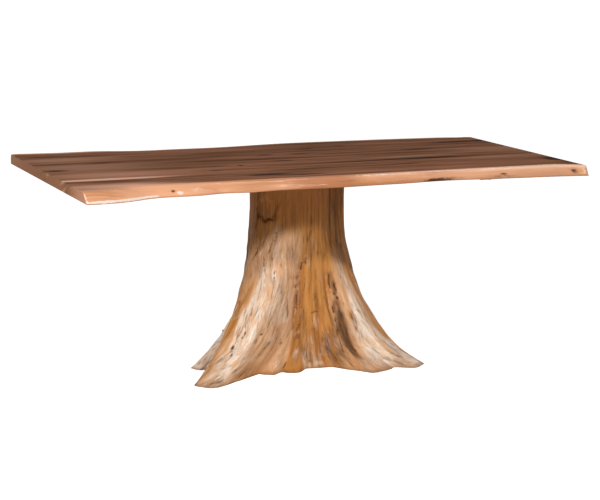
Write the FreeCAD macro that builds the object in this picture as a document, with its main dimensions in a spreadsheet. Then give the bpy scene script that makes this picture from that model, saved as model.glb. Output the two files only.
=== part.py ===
import FreeCAD, Part
import math
import os
import Sketcher

# A rustic dining table: six edge-glued planks with two live edges, bolted to a peeled tree stump.
# Lengths are in millimetres and angles in degrees. +X runs along the top, -Y is the front, +Z is up.
# The origin lies on the floor under the middle of the top.

SIZES = (
    # The top
    ("table_height", 762),
    ("top_length", 1981),
    ("board_thickness", 38),
    ("front_board_reach", 267),
    ("board_2_width", 120),
    ("board_3_width", 218),
    ("board_4_width", 185),
    ("board_5_width", 165),
    ("back_board_reach", 276),
    ("front_bevel_run", 78),
    ("back_bevel_run", 42),
    ("arris_ease", 2),
    # Places of the middle glue joint and of the stump's middle, toward the back
    ("middle_joint_y", -10.5),
    # Loose tenons in the glue joints
    ("tenons_per_joint", 6),
    ("tenon_end_distance", 165),
    ("tenon_length", 60),
    ("tenon_width", 50),
    ("tenon_thickness", 12),
    ("glue_gap", 0.1),
    ("tenon_end_gap", 0.8),
    # Battens under the top and their screws
    ("batten_end_distance", 330),
    ("batten_width", 89),
    ("batten_thickness", 19),
    ("batten_overlap", 86),
    ("batten_bevel_run", 42),
    ("batten_end_thickness", 8),
    ("edge_screw_inset", 27),
    ("screw_shank_radius", 2.5),
    ("screw_head_radius", 6),
    ("screw_head_height", 3),
    ("screw_bite", 24),
    ("screw_slot_travel", 6),
    ("screw_slot_gap", 0.3),
    # Steel plate between the stump and the top
    ("plate_length", 560),
    ("plate_width", 380),
    ("plate_thickness", 8),
    ("plate_corner_radius", 30),
    ("bolt_edge_distance", 30),
    ("bolt_row_spacing", 100),
    ("bolt_radius", 4),
    ("bolt_bite", 15),
    ("bolt_head_across_flats", 13),
    ("bolt_head_height", 5.5),
    ("bolt_slot_travel", 8),
    ("bolt_slot_gap", 0.5),
    ("washer_radius", 12),
    ("washer_thickness", 2),
    ("washer_gap", 0.3),
    ("insert_radius", 6.5),
    ("insert_length", 20),
    ("insert_gap", 0.05),
    # Lag screws from the plate into the stump
    ("lag_count", 6),
    ("lag_circle_radius", 115),
    ("lag_shank_radius", 5),
    ("lag_head_radius", 10),
    ("lag_head_depth", 5),
    ("lag_length", 100),
    ("lag_gap", 0.3),
    # The stump: its trunk under the plate, its foot, and the sizes that its roots follow
    ("trunk_radius", 157),
    ("trunk_lean", 8),
    ("foot_radius", 306),
    ("foot_climb", 600),
    ("longest_root_reach", 674),
    ("root_half_width", 80),
    ("root_half_width_high", 110),
    ("root_climb", 560),
    ("crevice_depth", 20),
    ("crevice_half_width", 15),
    ("panel_setback", 12),
    ("panel_half_width", 64),
    # How far cutting shapes run past what they cut
    ("overrun", 5),
)

# Where the live edges run, as shares: first along half the top's length from its middle, then of the
# board's reach from its glue joint to the bottom arris, then of the bevel's run back to the top arris.
FRONT_EDGE_SHARES = (
    (-1.03, 0.985, 0.66),
    (-0.94, 1.000, 0.80),
    (-0.89, 0.980, 0.94),
    (-0.81, 0.873, 1.00),
    (-0.74, 0.749, 1.00),
    (-0.68, 0.719, 0.95),
    (-0.56, 0.715, 0.86),
    (-0.46, 0.633, 0.76),
    (-0.37, 0.678, 0.80),
    (-0.26, 0.625, 0.74),
    (-0.15, 0.640, 0.76),
    (0.00, 0.659, 0.78),
    (0.12, 0.630, 0.72),
    (0.29, 0.596, 0.66),
    (0.36, 0.558, 0.62),
    (0.53, 0.581, 0.70),
    (0.73, 0.670, 0.84),
    (0.86, 0.715, 0.86),
    (0.95, 0.770, 0.60),
    (1.03, 0.830, 0.05),
)
BACK_EDGE_SHARES = (
    (-1.03, 0.885, 0.05),
    (-0.98, 0.935, 0.25),
    (-0.94, 0.975, 0.70),
    (-0.88, 0.980, 0.92),
    (-0.81, 0.957, 0.95),
    (-0.65, 0.946, 0.95),
    (-0.50, 0.779, 0.90),
    (-0.34, 0.764, 0.90),
    (-0.18, 0.739, 0.86),
    (0.00, 0.812, 0.90),
    (0.14, 0.895, 1.00),
    (0.37, 0.884, 0.95),
    (0.61, 0.841, 0.90),
    (0.79, 0.775, 0.86),
    (0.91, 0.690, 0.80),
    (0.98, 0.570, 0.76),
    (1.03, 0.480, 0.70),
)

# The bevel leans in from the bottom arris to the top one, and swells a little on the way:
# the pull in at a share of the thickness is lean * share + belly * share * share.
BEVEL_LEAN_SHARE = 0.6
BEVEL_BELLY_SHARE = 0.4
BEVEL_LEVEL_SHARES = (-0.15, 0.5, 1.15)

# Roots: direction in degrees, then shares of the longest root's reach, of the root's half width
# and of the roots' climb, and the share of the reach that is a low toe.
ROOT_SHARES = (
    (-141, 1.00, 0.87, 1.10, 0.23),
    (-163, 0.72, 0.60, 0.58, 0.07),
    (-125, 0.59, 0.47, 0.50, 0.50),
    (-114, 0.52, 0.57, 0.43, 0.50),
    (-65, 0.70, 1.00, 0.75, 0.33),
    (-47, 0.80, 0.90, 0.89, 0.28),
    (12, 0.63, 1.00, 0.82, 0.40),
    (58, 0.74, 1.00, 0.89, 0.40),
    (100, 0.76, 1.06, 0.93, 0.40),
    (132, 0.46, 0.94, 0.84, 0.40),
)

# Crevices: direction in degrees at the floor and at their upper end, then the shares of the stump's
# height up to which each is open in full and where it has closed.
CREVICE_SHARES = (
    (-119, -103, 0.42, 0.62),
    (-74, -75, 0.40, 0.62),
)
# The flat panel between the two crevices: its direction in degrees, and the same two shares.
PANEL_DIRECTION = -92
PANEL_OPEN_SHARE = 0.40
PANEL_CLOSED_SHARE = 0.66

# Powers and shares that shape the stump's curves
TRUNK_IN_ROOT_SHARE = 0.93
FOOT_TOE_SHARE = 0.3
TOE_POWER = 8
FOOT_POWER = 1.31
ROOT_POWER = 1.35
ROOT_WIDENING_POWER = 0.8
ROOT_SECTION_POWER = 5.4
MELT_POWER = 9
PANEL_SOFT_SHARES = (0.8, 1.1)

# The stump's facets: how many columns go round it, and the heights of its rings as shares
STUMP_COLUMNS = 90
FINE_STEPS = 1440
STUMP_LEVEL_SHARES = (0, 0.02, 0.05, 0.09, 0.14, 0.20, 0.27, 0.35, 0.44, 0.54, 0.65, 0.77, 0.89, 1)

# Small round holes and fasteners have a flat for every this many degrees, and bolt heads one for each sixty
FLAT_TURN = 30
HEX_TURN = 60

# The bolts' rows across the plate, as shares of their spacing
BOLT_ROW_SHARES = (-1.5, -0.5, 0.5, 1.5)

CUBIC_MM_PER_CUBIC_CM = 1000

doc = FreeCAD.newDocument("RusticTable")
sheet = doc.addObject("Spreadsheet::Sheet", "Sizes")
for row, (alias, value) in enumerate(SIZES, start=1):
    sheet.set(f"A{row}", alias)
    sheet.set(f"B{row}", str(value))
    sheet.setAlias(f"B{row}", alias)
doc.recompute()

# Places that several pieces share, as expressions of the sheet
UNDERSIDE = "(Sizes.table_height - Sizes.board_thickness)"
STUMP_TOP = f"({UNDERSIDE} - Sizes.plate_thickness)"
HALF_LENGTH = "(Sizes.top_length / 2)"
JOINT_3 = "Sizes.middle_joint_y"
JOINT_2 = f"({JOINT_3} - Sizes.board_3_width)"
JOINT_1 = f"({JOINT_2} - Sizes.board_2_width)"
JOINT_4 = f"({JOINT_3} + Sizes.board_4_width)"
JOINT_5 = f"({JOINT_4} + Sizes.board_5_width)"
JOINTS = (JOINT_1, JOINT_2, JOINT_3, JOINT_4, JOINT_5)

BOLT_X = "(Sizes.plate_length / 2 - Sizes.bolt_edge_distance)"
BOLT_ROWS = tuple(f"({share} * Sizes.bolt_row_spacing)" for share in BOLT_ROW_SHARES)
BATTEN_X = f"({HALF_LENGTH} - Sizes.batten_end_distance)"
TENON_RUN = "(Sizes.top_length - 2 * Sizes.tenon_end_distance)"
SIDES = ("-1", "1")

# Across the top, a screw through each batten into each board
SCREW_ROWS = (
    f"({JOINT_1} - Sizes.edge_screw_inset)",
    f"(({JOINT_1} + {JOINT_2}) / 2)",
    f"(({JOINT_2} + {JOINT_3}) / 2)",
    f"(({JOINT_3} + {JOINT_4}) / 2)",
    f"(({JOINT_4} + {JOINT_5}) / 2)",
    f"({JOINT_5} + Sizes.edge_screw_inset)",
)


def size(alias):
    """One number of the sheet."""
    return float(getattr(sheet, alias))


def worked_out(expression):
    """The value of an expression of the sheet."""
    return float(sheet.evalExpression(expression))


# Helpers for bodies and sketches


def new_body(name):
    body = doc.addObject("PartDesign::Body", name)
    body.Label = name
    return body


def place(item, x="0", y="0", z="0"):
    """Bind the three coordinates of an object's place."""
    for axis, expression in (("x", x), ("y", y), ("z", z)):
        item.setExpression(f"Placement.Base.{axis}", expression)


def new_sketch(body, role, name, offset=None):
    """A sketch on one of the body's own origin planes, or that far along the plane's normal."""
    sketch = body.newObject("Sketcher::SketchObject", name)
    plane = next(item for item in body.Origin.OriginFeatures if item.Role == role)
    sketch.AttachmentSupport = [(plane, "")]
    sketch.MapMode = "FlatFace"
    if offset:
        sketch.setExpression("AttachmentOffset.Base.z", offset)
    return sketch


def polygon(sketch, corners):
    """A closed outline of straight lines through corners, each a pair of expressions of the sheet."""
    points = [FreeCAD.Vector(worked_out(x), worked_out(y), 0) for x, y in corners]
    ends = points[1:] + points[:1]
    lines = sketch.addGeometry([Part.LineSegment(start, end) for start, end in zip(points, ends)])
    closing = [
        Sketcher.Constraint("Coincident", line, 2, following, 1)
        for line, following in zip(lines, lines[1:] + lines[:1])
    ]
    sketch.addConstraint(closing)
    places = [
        Sketcher.Constraint(kind, -1, 1, line, 1, value)
        for line, point in zip(lines, points)
        for kind, value in (("DistanceX", point.x), ("DistanceY", point.y))
    ]
    indices = sketch.addConstraint(places)
    for index, expression in zip(indices, (part for corner in corners for part in corner)):
        sketch.setExpression(f"Constraints[{index}]", expression)


def round_corners(x, y, radius, turns):
    """Corners on a small circle, one at each turn in degrees."""
    return [(f"({x} + ({radius}) * cos({turn} deg))", f"({y} + ({radius}) * sin({turn} deg))") for turn in turns]


def small_round(sketch, x, y, radius):
    """A small circle, drawn with flats to keep the many holes and fasteners light."""
    polygon(sketch, round_corners(x, y, radius, range(0, 360, FLAT_TURN)))


def small_slot(sketch, x, y, travel, radius):
    """A slot along Y whose two round ends are drawn with flats."""
    back = round_corners(x, f"{y} + {travel} / 2", radius, range(0, 181, FLAT_TURN))
    front = round_corners(x, f"{y} - {travel} / 2", radius, range(180, 361, FLAT_TURN))
    polygon(sketch, back + front)


def pad(body, sketch, length, symmetric=False, reversed_way=False):
    feature = body.newObject("PartDesign::Pad", "Pad")
    feature.Profile = sketch
    feature.SideType = "Symmetric" if symmetric else "One side"
    feature.Reversed = reversed_way
    feature.setExpression("Length", length)
    return feature


def pocket(body, sketch, depth, reversed_way=False):
    """A cut of some depth, or through all where the depth is None, that must take material away."""
    doc.recompute()
    before = body.Shape.Volume
    feature = body.newObject("PartDesign::Pocket", "Pocket")
    feature.Profile = sketch
    feature.Reversed = reversed_way
    if depth is None:
        feature.Type = "ThroughAll"
    else:
        feature.setExpression("Length", depth)
    doc.recompute()
    if not body.Shape.Volume < before:
        raise ValueError(f"{feature.Name} in {body.Label} cuts nothing")
    return feature


def rod(body, start, length, radius):
    """A small round pad that begins at some height over the body's origin."""
    outline = new_sketch(body, "XY_Plane", "RodSection", start)
    small_round(outline, "0", "0", radius)
    return pad(body, outline, length)


def group(label, pattern_piece, places):
    """One node of equal pieces, each a solid of its own at a place given by expressions."""
    links = []
    for x, y, z in places:
        link = doc.addObject("App::Link", "Copy")
        link.LinkedObject = pattern_piece
        place(link, x, y, z)
        links.append(link)
    compound = doc.addObject("Part::Compound", label)
    compound.Label = label
    compound.Links = links
    return compound


# Boards: a sawn side view with its two end arrises eased, padded across the board


def side_view(body):
    sketch = new_sketch(body, "XZ_Plane", "SideView")
    low, high = "0", "Sizes.board_thickness"
    eased = "(Sizes.board_thickness - Sizes.arris_ease)"
    inner = f"({HALF_LENGTH} - Sizes.arris_ease)"
    polygon(
        sketch,
        (
            (f"-{HALF_LENGTH}", low),
            (HALF_LENGTH, low),
            (HALF_LENGTH, eased),
            (inner, high),
            (f"-{inner}", high),
            (f"-{HALF_LENGTH}", eased),
        ),
    )
    return sketch


def mortises(body, face_y, toward_back):
    """A row of mortises cut square into a glue face."""
    sketch = new_sketch(body, "XZ_Plane", "Mortise", f"-({face_y})")
    first = f"(-{TENON_RUN} / 2)"
    half_width = "(Sizes.tenon_width / 2 + Sizes.glue_gap)"
    low = "(Sizes.board_thickness / 2 - Sizes.tenon_thickness / 2 - Sizes.glue_gap)"
    high = "(Sizes.board_thickness / 2 + Sizes.tenon_thickness / 2 + Sizes.glue_gap)"
    polygon(
        sketch,
        (
            (f"({first} - {half_width})", low),
            (f"({first} + {half_width})", low),
            (f"({first} + {half_width})", high),
            (f"({first} - {half_width})", high),
        ),
    )
    depth = "Sizes.tenon_length / 2 + Sizes.tenon_end_gap"
    first_mortise = pocket(body, sketch, depth, reversed_way=not toward_back)
    row = body.newObject("PartDesign::LinearPattern", "MortiseRow")
    row.Originals = [first_mortise]
    row.Direction = (sketch, ["H_Axis"])
    row.setExpression("Length", TENON_RUN)
    row.setExpression("Occurrences", "Sizes.tenons_per_joint")
    body.Tip = row


def blind_holes(body, name, places, radius, depth):
    """Holes drilled up into the underside."""
    sketch = new_sketch(body, "XY_Plane", name)
    for x, y in places:
        small_round(sketch, x, y, radius)
    pocket(body, sketch, depth, reversed_way=True)


def drill_board(body, seat_y, screw_row, bolt_rows):
    """Pilot holes for the batten screws, and seats for the threaded inserts."""
    screw_y = f"({screw_row} - {seat_y})"
    screw_places = [(f"({side} * {BATTEN_X})", screw_y) for side in SIDES]
    blind_holes(body, "PilotHoles", screw_places, "Sizes.screw_shank_radius", "Sizes.screw_bite")
    bolt_places = [
        (f"({side} * {BOLT_X})", f"({row} + {JOINT_3} - {seat_y})")
        for side in SIDES
        for row in bolt_rows
    ]
    if bolt_places:
        radius = "Sizes.insert_radius + Sizes.insert_gap"
        blind_holes(body, "InsertSeats", bolt_places, radius, "Sizes.insert_length")


def plain_board(label, front_y, back_y, screw_row, bolt_rows=()):
    body = new_body(label)
    middle = f"(({front_y} + {back_y}) / 2)"
    width = f"({back_y} - {front_y})"
    pad(body, side_view(body), width, symmetric=True)
    mortises(body, f"(-{width} / 2)", toward_back=True)
    mortises(body, f"({width} / 2)", toward_back=False)
    drill_board(body, middle, screw_row, bolt_rows)
    place(body, y=middle, z=UNDERSIDE)
    return body


def smooth_line(points):
    curve = Part.BSplineCurve()
    curve.interpolate(Points=points)
    return curve.toShape()


def live_edge_form(name, shares, reach, bevel_run, outward):
    """A block that ends in the live edge: a loft through its outlines at three heights.

    Each outline is a smooth line through the hand-chosen points, closed behind the glue joint.
    """
    half_length = size("top_length") / 2
    behind = -outward * size("overrun")
    outlines = []
    for level in BEVEL_LEVEL_SHARES:
        height = level * size("board_thickness")
        pull = BEVEL_LEAN_SHARE * level + BEVEL_BELLY_SHARE * level * level
        edge = [
            FreeCAD.Vector(
                along * half_length,
                outward * (out * size(reach) - pull * run * size(bevel_run)),
                height,
            )
            for along, out, run in shares
        ]
        corners = [
            edge[-1],
            FreeCAD.Vector(edge[-1].x, behind, height),
            FreeCAD.Vector(edge[0].x, behind, height),
            edge[0],
        ]
        outlines.append(Part.Wire([smooth_line(edge), *Part.makePolygon(corners).Edges]))
    form = doc.addObject("Part::Feature", name)
    form.Shape = Part.makeLoft(outlines, True, False)
    return form


def live_edge_board(label, shares, reach, bevel_run, joint, screw_row, outward):
    """A sawn blank as wide as the board's reach, kept only inside its live edge."""
    blank = new_body(f"{label}_blank")
    pad(blank, side_view(blank), f"Sizes.{reach}", reversed_way=outward > 0)
    form = live_edge_form(f"{label}_form", shares, reach, bevel_run, outward)
    shaped = doc.addObject("Part::Common", f"{label}_shaped")
    shaped.Base = blank
    shaped.Tool = form
    body = new_body(label)
    body.BaseFeature = shaped
    mortises(body, "0", toward_back=outward > 0)
    drill_board(body, joint, screw_row, ())
    place(body, y=joint, z=UNDERSIDE)
    return body


def make_top():
    front_row, *inner_rows, back_row = SCREW_ROWS
    front = live_edge_board(
        "board_1_front_live_edge",
        FRONT_EDGE_SHARES,
        "front_board_reach",
        "front_bevel_run",
        JOINT_1,
        front_row,
        outward=-1,
    )
    back = live_edge_board(
        "board_6_back_live_edge",
        BACK_EDGE_SHARES,
        "back_board_reach",
        "back_bevel_run",
        JOINT_5,
        back_row,
        outward=1,
    )
    bolts = ((), BOLT_ROWS[:2], BOLT_ROWS[2:], ())
    inner = [
        plain_board(f"board_{number}", front_y, back_y, screw_row, bolt_rows)
        for number, front_y, back_y, screw_row, bolt_rows in zip(
            (2, 3, 4, 5), JOINTS, JOINTS[1:], inner_rows, bolts
        )
    ]
    return [front, *inner, back]


# Loose tenons: a row of them bridges each glue joint


def make_tenons():
    tenon = new_body("tenon_pattern")
    sketch = new_sketch(tenon, "XZ_Plane", "Section")
    half_width, half_thickness = "(Sizes.tenon_width / 2)", "(Sizes.tenon_thickness / 2)"
    polygon(
        sketch,
        (
            (f"-{half_width}", f"-{half_thickness}"),
            (half_width, f"-{half_thickness}"),
            (half_width, half_thickness),
            (f"-{half_width}", half_thickness),
        ),
    )
    pad(tenon, sketch, "Sizes.tenon_length", symmetric=True)
    count = round(size("tenons_per_joint"))
    height = f"({UNDERSIDE} + Sizes.board_thickness / 2)"
    step_share = f"{TENON_RUN} * ({{step}} / (Sizes.tenons_per_joint - 1) - 1 / 2)"
    return [
        group(
            f"loose_tenons_joint_{number}",
            tenon,
            [(step_share.format(step=step), joint, height) for step in range(count)],
        )
        for number, joint in enumerate(JOINTS, start=1)
    ]


# Battens: flat bars with their ends bevelled to stay out of sight, slotted so the boards can move


def make_batten(label, side):
    batten = new_body(label)
    front_end = f"({JOINT_1} - Sizes.batten_overlap)"
    back_end = f"({JOINT_5} + Sizes.batten_overlap)"
    sketch = new_sketch(batten, "YZ_Plane", "SideView")
    polygon(
        sketch,
        (
            (front_end, "0"),
            (front_end, "-Sizes.batten_end_thickness"),
            (f"({front_end} + Sizes.batten_bevel_run)", "-Sizes.batten_thickness"),
            (f"({back_end} - Sizes.batten_bevel_run)", "-Sizes.batten_thickness"),
            (back_end, "-Sizes.batten_end_thickness"),
            (back_end, "0"),
        ),
    )
    pad(batten, sketch, "Sizes.batten_width", symmetric=True)
    slots = new_sketch(batten, "XY_Plane", "ScrewSlots")
    for row in SCREW_ROWS:
        radius = "(Sizes.screw_shank_radius + Sizes.screw_slot_gap)"
        small_slot(slots, "0", row, "Sizes.screw_slot_travel", radius)
    pocket(batten, slots, None)
    place(batten, x=f"{side} * {BATTEN_X}", z=UNDERSIDE)
    return batten


def make_batten_screws():
    screw = new_body("batten_screw_pattern")
    rod(screw, "-Sizes.screw_head_height", "Sizes.screw_head_height", "Sizes.screw_head_radius")
    rod(screw, "0", "Sizes.batten_thickness + Sizes.screw_bite", "Sizes.screw_shank_radius")
    height = f"{UNDERSIDE} - Sizes.batten_thickness"
    return [
        group(
            f"batten_screws_{name}",
            screw,
            [(f"{side} * {BATTEN_X}", row, height) for row in SCREW_ROWS],
        )
        for name, side in zip(("left", "right"), SIDES)
    ]


# Mounting plate: flat steel with slots for the top's bolts and counterbored holes for the lags


def make_plate():
    plate = new_body("mounting_plate")
    outline = new_sketch(plate, "XY_Plane", "Outline")
    half_length, half_width = "(Sizes.plate_length / 2)", "(Sizes.plate_width / 2)"
    polygon(
        outline,
        (
            (f"-{half_length}", f"-{half_width}"),
            (half_length, f"-{half_width}"),
            (half_length, half_width),
            (f"-{half_length}", half_width),
        ),
    )
    blank = pad(plate, outline, "Sizes.plate_thickness", reversed_way=True)
    doc.recompute()
    upright = [
        f"Edge{index}"
        for index, edge in enumerate(blank.Shape.Edges, start=1)
        if round(edge.tangentAt(edge.FirstParameter).z)
    ]
    corners = plate.newObject("PartDesign::Fillet", "RoundCorners")
    corners.Base = (blank, upright)
    corners.setExpression("Radius", "Sizes.plate_corner_radius")
    slots = new_sketch(plate, "XY_Plane", "BoltSlots")
    for side in SIDES:
        for row in BOLT_ROWS:
            radius = "(Sizes.bolt_radius + Sizes.bolt_slot_gap)"
            small_slot(slots, f"({side} * {BOLT_X})", row, "Sizes.bolt_slot_travel", radius)
    pocket(plate, slots, None)
    counterbore_lags(plate)
    place(plate, y=JOINT_3, z=UNDERSIDE)
    return plate


def counterbore_lags(plate):
    """One counterbored hole off the plate's middle, repeated round it."""
    steps = (
        ("Sizes.lag_head_radius + Sizes.lag_gap", "Sizes.lag_head_depth"),
        ("Sizes.lag_shank_radius + Sizes.lag_gap", None),
    )
    cuts = []
    for radius, depth in steps:
        outline = new_sketch(plate, "XY_Plane", "LagHole")
        small_round(outline, "Sizes.lag_circle_radius", "0", radius)
        cuts.append(pocket(plate, outline, depth))
    ring = plate.newObject("PartDesign::PolarPattern", "LagRing")
    ring.Originals = cuts
    ring.Axis = (outline, ["N_Axis"])
    ring.setExpression("Occurrences", "Sizes.lag_count")
    plate.Tip = ring


def lag_places():
    """The lag screws' places round the middle of the plate."""
    count = round(size("lag_count"))
    return [
        (
            f"(Sizes.lag_circle_radius * cos({step} * 360 deg / Sizes.lag_count))",
            f"({JOINT_3} + Sizes.lag_circle_radius * sin({step} * 360 deg / Sizes.lag_count))",
        )
        for step in range(count)
    ]


def make_lags():
    lag = new_body("lag_screw_pattern")
    rod(lag, "-Sizes.lag_head_depth", "Sizes.lag_head_depth", "Sizes.lag_head_radius")
    shank = "Sizes.lag_length - Sizes.lag_head_depth"
    rod(lag, "-Sizes.lag_length", shank, "Sizes.lag_shank_radius")
    return group("stump_lag_screws", lag, [(x, y, UNDERSIDE) for x, y in lag_places()])


# Bolts up through the plate's slots, their washers, and the inserts that they screw into


def bolt_places(height):
    return [
        (f"{side} * {BOLT_X}", f"{row} + {JOINT_3}", height) for side in SIDES for row in BOLT_ROWS
    ]


def make_bolts():
    bolt = new_body("top_bolt_pattern")
    head = new_sketch(bolt, "XY_Plane", "Head")
    corner = f"(Sizes.bolt_head_across_flats / 2 / cos({HEX_TURN} deg / 2))"
    polygon(head, round_corners("0", "0", corner, range(0, 360, HEX_TURN)))
    pad(bolt, head, "Sizes.bolt_head_height", reversed_way=True)
    shank = "Sizes.washer_thickness + Sizes.plate_thickness + Sizes.bolt_bite"
    rod(bolt, "0", shank, "Sizes.bolt_radius")
    return group("top_bolts", bolt, bolt_places(f"{STUMP_TOP} - Sizes.washer_thickness"))


def make_rings(label, inner, outer, thickness, height):
    """A node of flat or tall rings, one at each bolt."""
    ring = new_body(f"{label}_pattern")
    sketch = new_sketch(ring, "XY_Plane", "Ring")
    small_round(sketch, "0", "0", outer)
    small_round(sketch, "0", "0", inner)
    pad(ring, sketch, thickness)
    return group(label, ring, bolt_places(height))


def make_bolt_rings():
    washers = make_rings(
        "top_bolt_washers",
        "Sizes.bolt_radius + Sizes.washer_gap",
        "Sizes.washer_radius",
        "Sizes.washer_thickness",
        f"{STUMP_TOP} - Sizes.washer_thickness",
    )
    inserts = make_rings(
        "threaded_inserts",
        "Sizes.bolt_radius + Sizes.insert_gap",
        "Sizes.insert_radius",
        "Sizes.insert_length",
        UNDERSIDE,
    )
    return [washers, inserts]


# The stump


def flare(share, toe, power):
    """From 1 at the floor to 0 at the top of a climb: a low toe that ends soon, over a long sweep."""
    left = min(max(1 - share, 0), 1)
    return toe * left**TOE_POWER + (1 - toe) * left**power


def fade(share, full, closed):
    """1 up to one share of the height, 0 from the other one, and a smooth fall between them."""
    step = min(max((closed - share) / (closed - full), 0), 1)
    return step * step * (3 - 2 * step)


def turn_between(angle, direction):
    """The smallest turn in radians between an angle and a direction in degrees."""
    return math.remainder(angle - math.radians(direction), 2 * math.pi)


def core_radius(height):
    """The trunk without its roots, which widens toward the floor."""
    spread = size("foot_radius") - size("trunk_radius")
    return size("trunk_radius") + spread * flare(height / size("foot_climb"), FOOT_TOE_SHARE, FOOT_POWER)


def root_radius(angle, height, root):
    """How far one root reaches at an angle: a superellipse about the root's own direction."""
    direction, reach_share, width_share, climb_share, toe_share = root
    turn = turn_between(angle, direction)
    if math.cos(turn) <= 0:
        return 0
    climb = height / (climb_share * size("root_climb"))
    inside = TRUNK_IN_ROOT_SHARE * size("trunk_radius")
    reach = reach_share * size("longest_root_reach") - inside
    reach = inside + reach * flare(climb, toe_share, ROOT_POWER)
    low, high = width_share * size("root_half_width"), size("root_half_width_high")
    width = low + (high - low) * min(climb, 1) ** ROOT_WIDENING_POWER
    along, across = math.cos(turn) / reach, abs(math.sin(turn)) / width
    return (along**ROOT_SECTION_POWER + across**ROOT_SECTION_POWER) ** (-1 / ROOT_SECTION_POWER)


def stump_radius(angle, height):
    """The bark line's distance from the axis: trunk and roots melt together, then the front is cut in."""
    share = height / worked_out(STUMP_TOP)
    parts = [core_radius(height)]
    parts += [root_radius(angle, height, root) for root in ROOT_SHARES]
    radius = sum(part**MELT_POWER for part in parts) ** (1 / MELT_POWER)
    for low_way, high_way, full, closed in CREVICE_SHARES:
        direction = low_way + (high_way - low_way) * min(share / closed, 1)
        offset = radius * turn_between(angle, direction) / size("crevice_half_width")
        radius -= size("crevice_depth") * math.exp(-offset * offset) * fade(share, full, closed)
    offset = abs(core_radius(height) * turn_between(angle, PANEL_DIRECTION) / size("panel_half_width"))
    flat = fade(offset, *PANEL_SOFT_SHARES) * fade(share, PANEL_OPEN_SHARE, PANEL_CLOSED_SHARE)
    return radius - size("panel_setback") * flat


def stump_columns():
    """The directions of the facets' edges, closer together where the floor outline runs far out.

    Equal steps of a measure that is half the turn and half the length along the floor outline.
    """
    fine = [2 * math.pi * step / FINE_STEPS for step in range(FINE_STEPS + 1)]
    outline = [FreeCAD.Vector(math.cos(a), math.sin(a), 0) * stump_radius(a, 0) for a in fine]
    lengths = [start.distanceToPoint(end) for start, end in zip(outline, outline[1:])]
    total = sum(lengths)
    columns, measure = [], 0
    for angle, length in zip(fine, lengths):
        if measure >= len(columns) / STUMP_COLUMNS:
            columns.append(angle)
        measure += (1 / FINE_STEPS + length / total) / 2
    return columns[:STUMP_COLUMNS]


def stump_ring(share, columns):
    """The stump's outline at a share of its height."""
    height = share * worked_out(STUMP_TOP)
    ring = []
    for angle in columns:
        radius = stump_radius(angle, height)
        x = radius * math.cos(angle) + share * size("trunk_lean")
        ring.append(FreeCAD.Vector(x, radius * math.sin(angle), height))
    return ring


def flat_face(corners):
    return Part.Face(Part.makePolygon([*corners, corners[0]]))


def stump_block():
    """A solid of flat facets between the rings, sawn flat at the floor and under the plate."""
    columns = stump_columns()
    rings = [stump_ring(share, columns) for share in STUMP_LEVEL_SHARES]
    faces = [flat_face(rings[0]), flat_face(rings[-1])]
    for lower, upper in zip(rings, rings[1:]):
        for here in range(STUMP_COLUMNS):
            after = (here + 1) % STUMP_COLUMNS
            faces.append(flat_face([lower[here], lower[after], upper[after]]))
            faces.append(flat_face([lower[here], upper[after], upper[here]]))
    return Part.Solid(Part.Shell(faces))


def make_stump():
    wood = doc.addObject("Part::Feature", "stump_wood")
    wood.Shape = stump_block()
    place(wood, y=JOINT_3)
    holes = []
    for x, y in lag_places():
        hole = doc.addObject("Part::Prism", "LagPilot")
        hole.Polygon = 360 // FLAT_TURN
        hole.setExpression("Circumradius", "Sizes.lag_shank_radius")
        hole.setExpression("Height", "Sizes.lag_length")
        place(hole, x, y, f"{UNDERSIDE} - Sizes.lag_length")
        holes.append(hole)
    pilots = doc.addObject("Part::Compound", "LagPilots")
    pilots.Links = holes
    stump = doc.addObject("Part::Cut", "stump")
    stump.Label = "stump"
    stump.Base = wood
    stump.Tool = pilots
    return stump


nodes = [
    *make_top(),
    *make_tenons(),
    make_batten("batten_left", "-1"),
    make_batten("batten_right", "1"),
    *make_batten_screws(),
    make_plate(),
    make_lags(),
    make_bolts(),
    *make_bolt_rings(),
    make_stump(),
]
doc.recompute()

for item in doc.Objects:
    if "Invalid" in item.State or "Error" in item.State:
        raise ValueError(f"{item.Label} did not recompute")
for node in nodes:
    if node.Shape.isNull() or not node.Shape.isValid():
        raise ValueError(f"{node.Label} has no valid shape")

os.makedirs("parts", exist_ok=True)
for node in nodes:
    node.Shape.exportStep(f"parts/{node.Label}.step")
    volume = node.Shape.Volume / CUBIC_MM_PER_CUBIC_CM
    print(f"{node.Label}: {len(node.Shape.Solids)} solids, {volume:.1f} cubic centimetres")
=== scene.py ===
# %% [markdown]
# # A plank table on a tree stump
# The real table is six planks glued edge to edge, bolted through a hidden steel plate to one peeled stump.
# The solids are packed already, at their real size. This lesson dresses them: it makes the planks and the
# stump anew as fine meshes, and gives every piece a finish that is worked out by shader nodes.
# The frame is in metres: +X runs along the top, -Y is the front and +Z is up.

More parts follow.
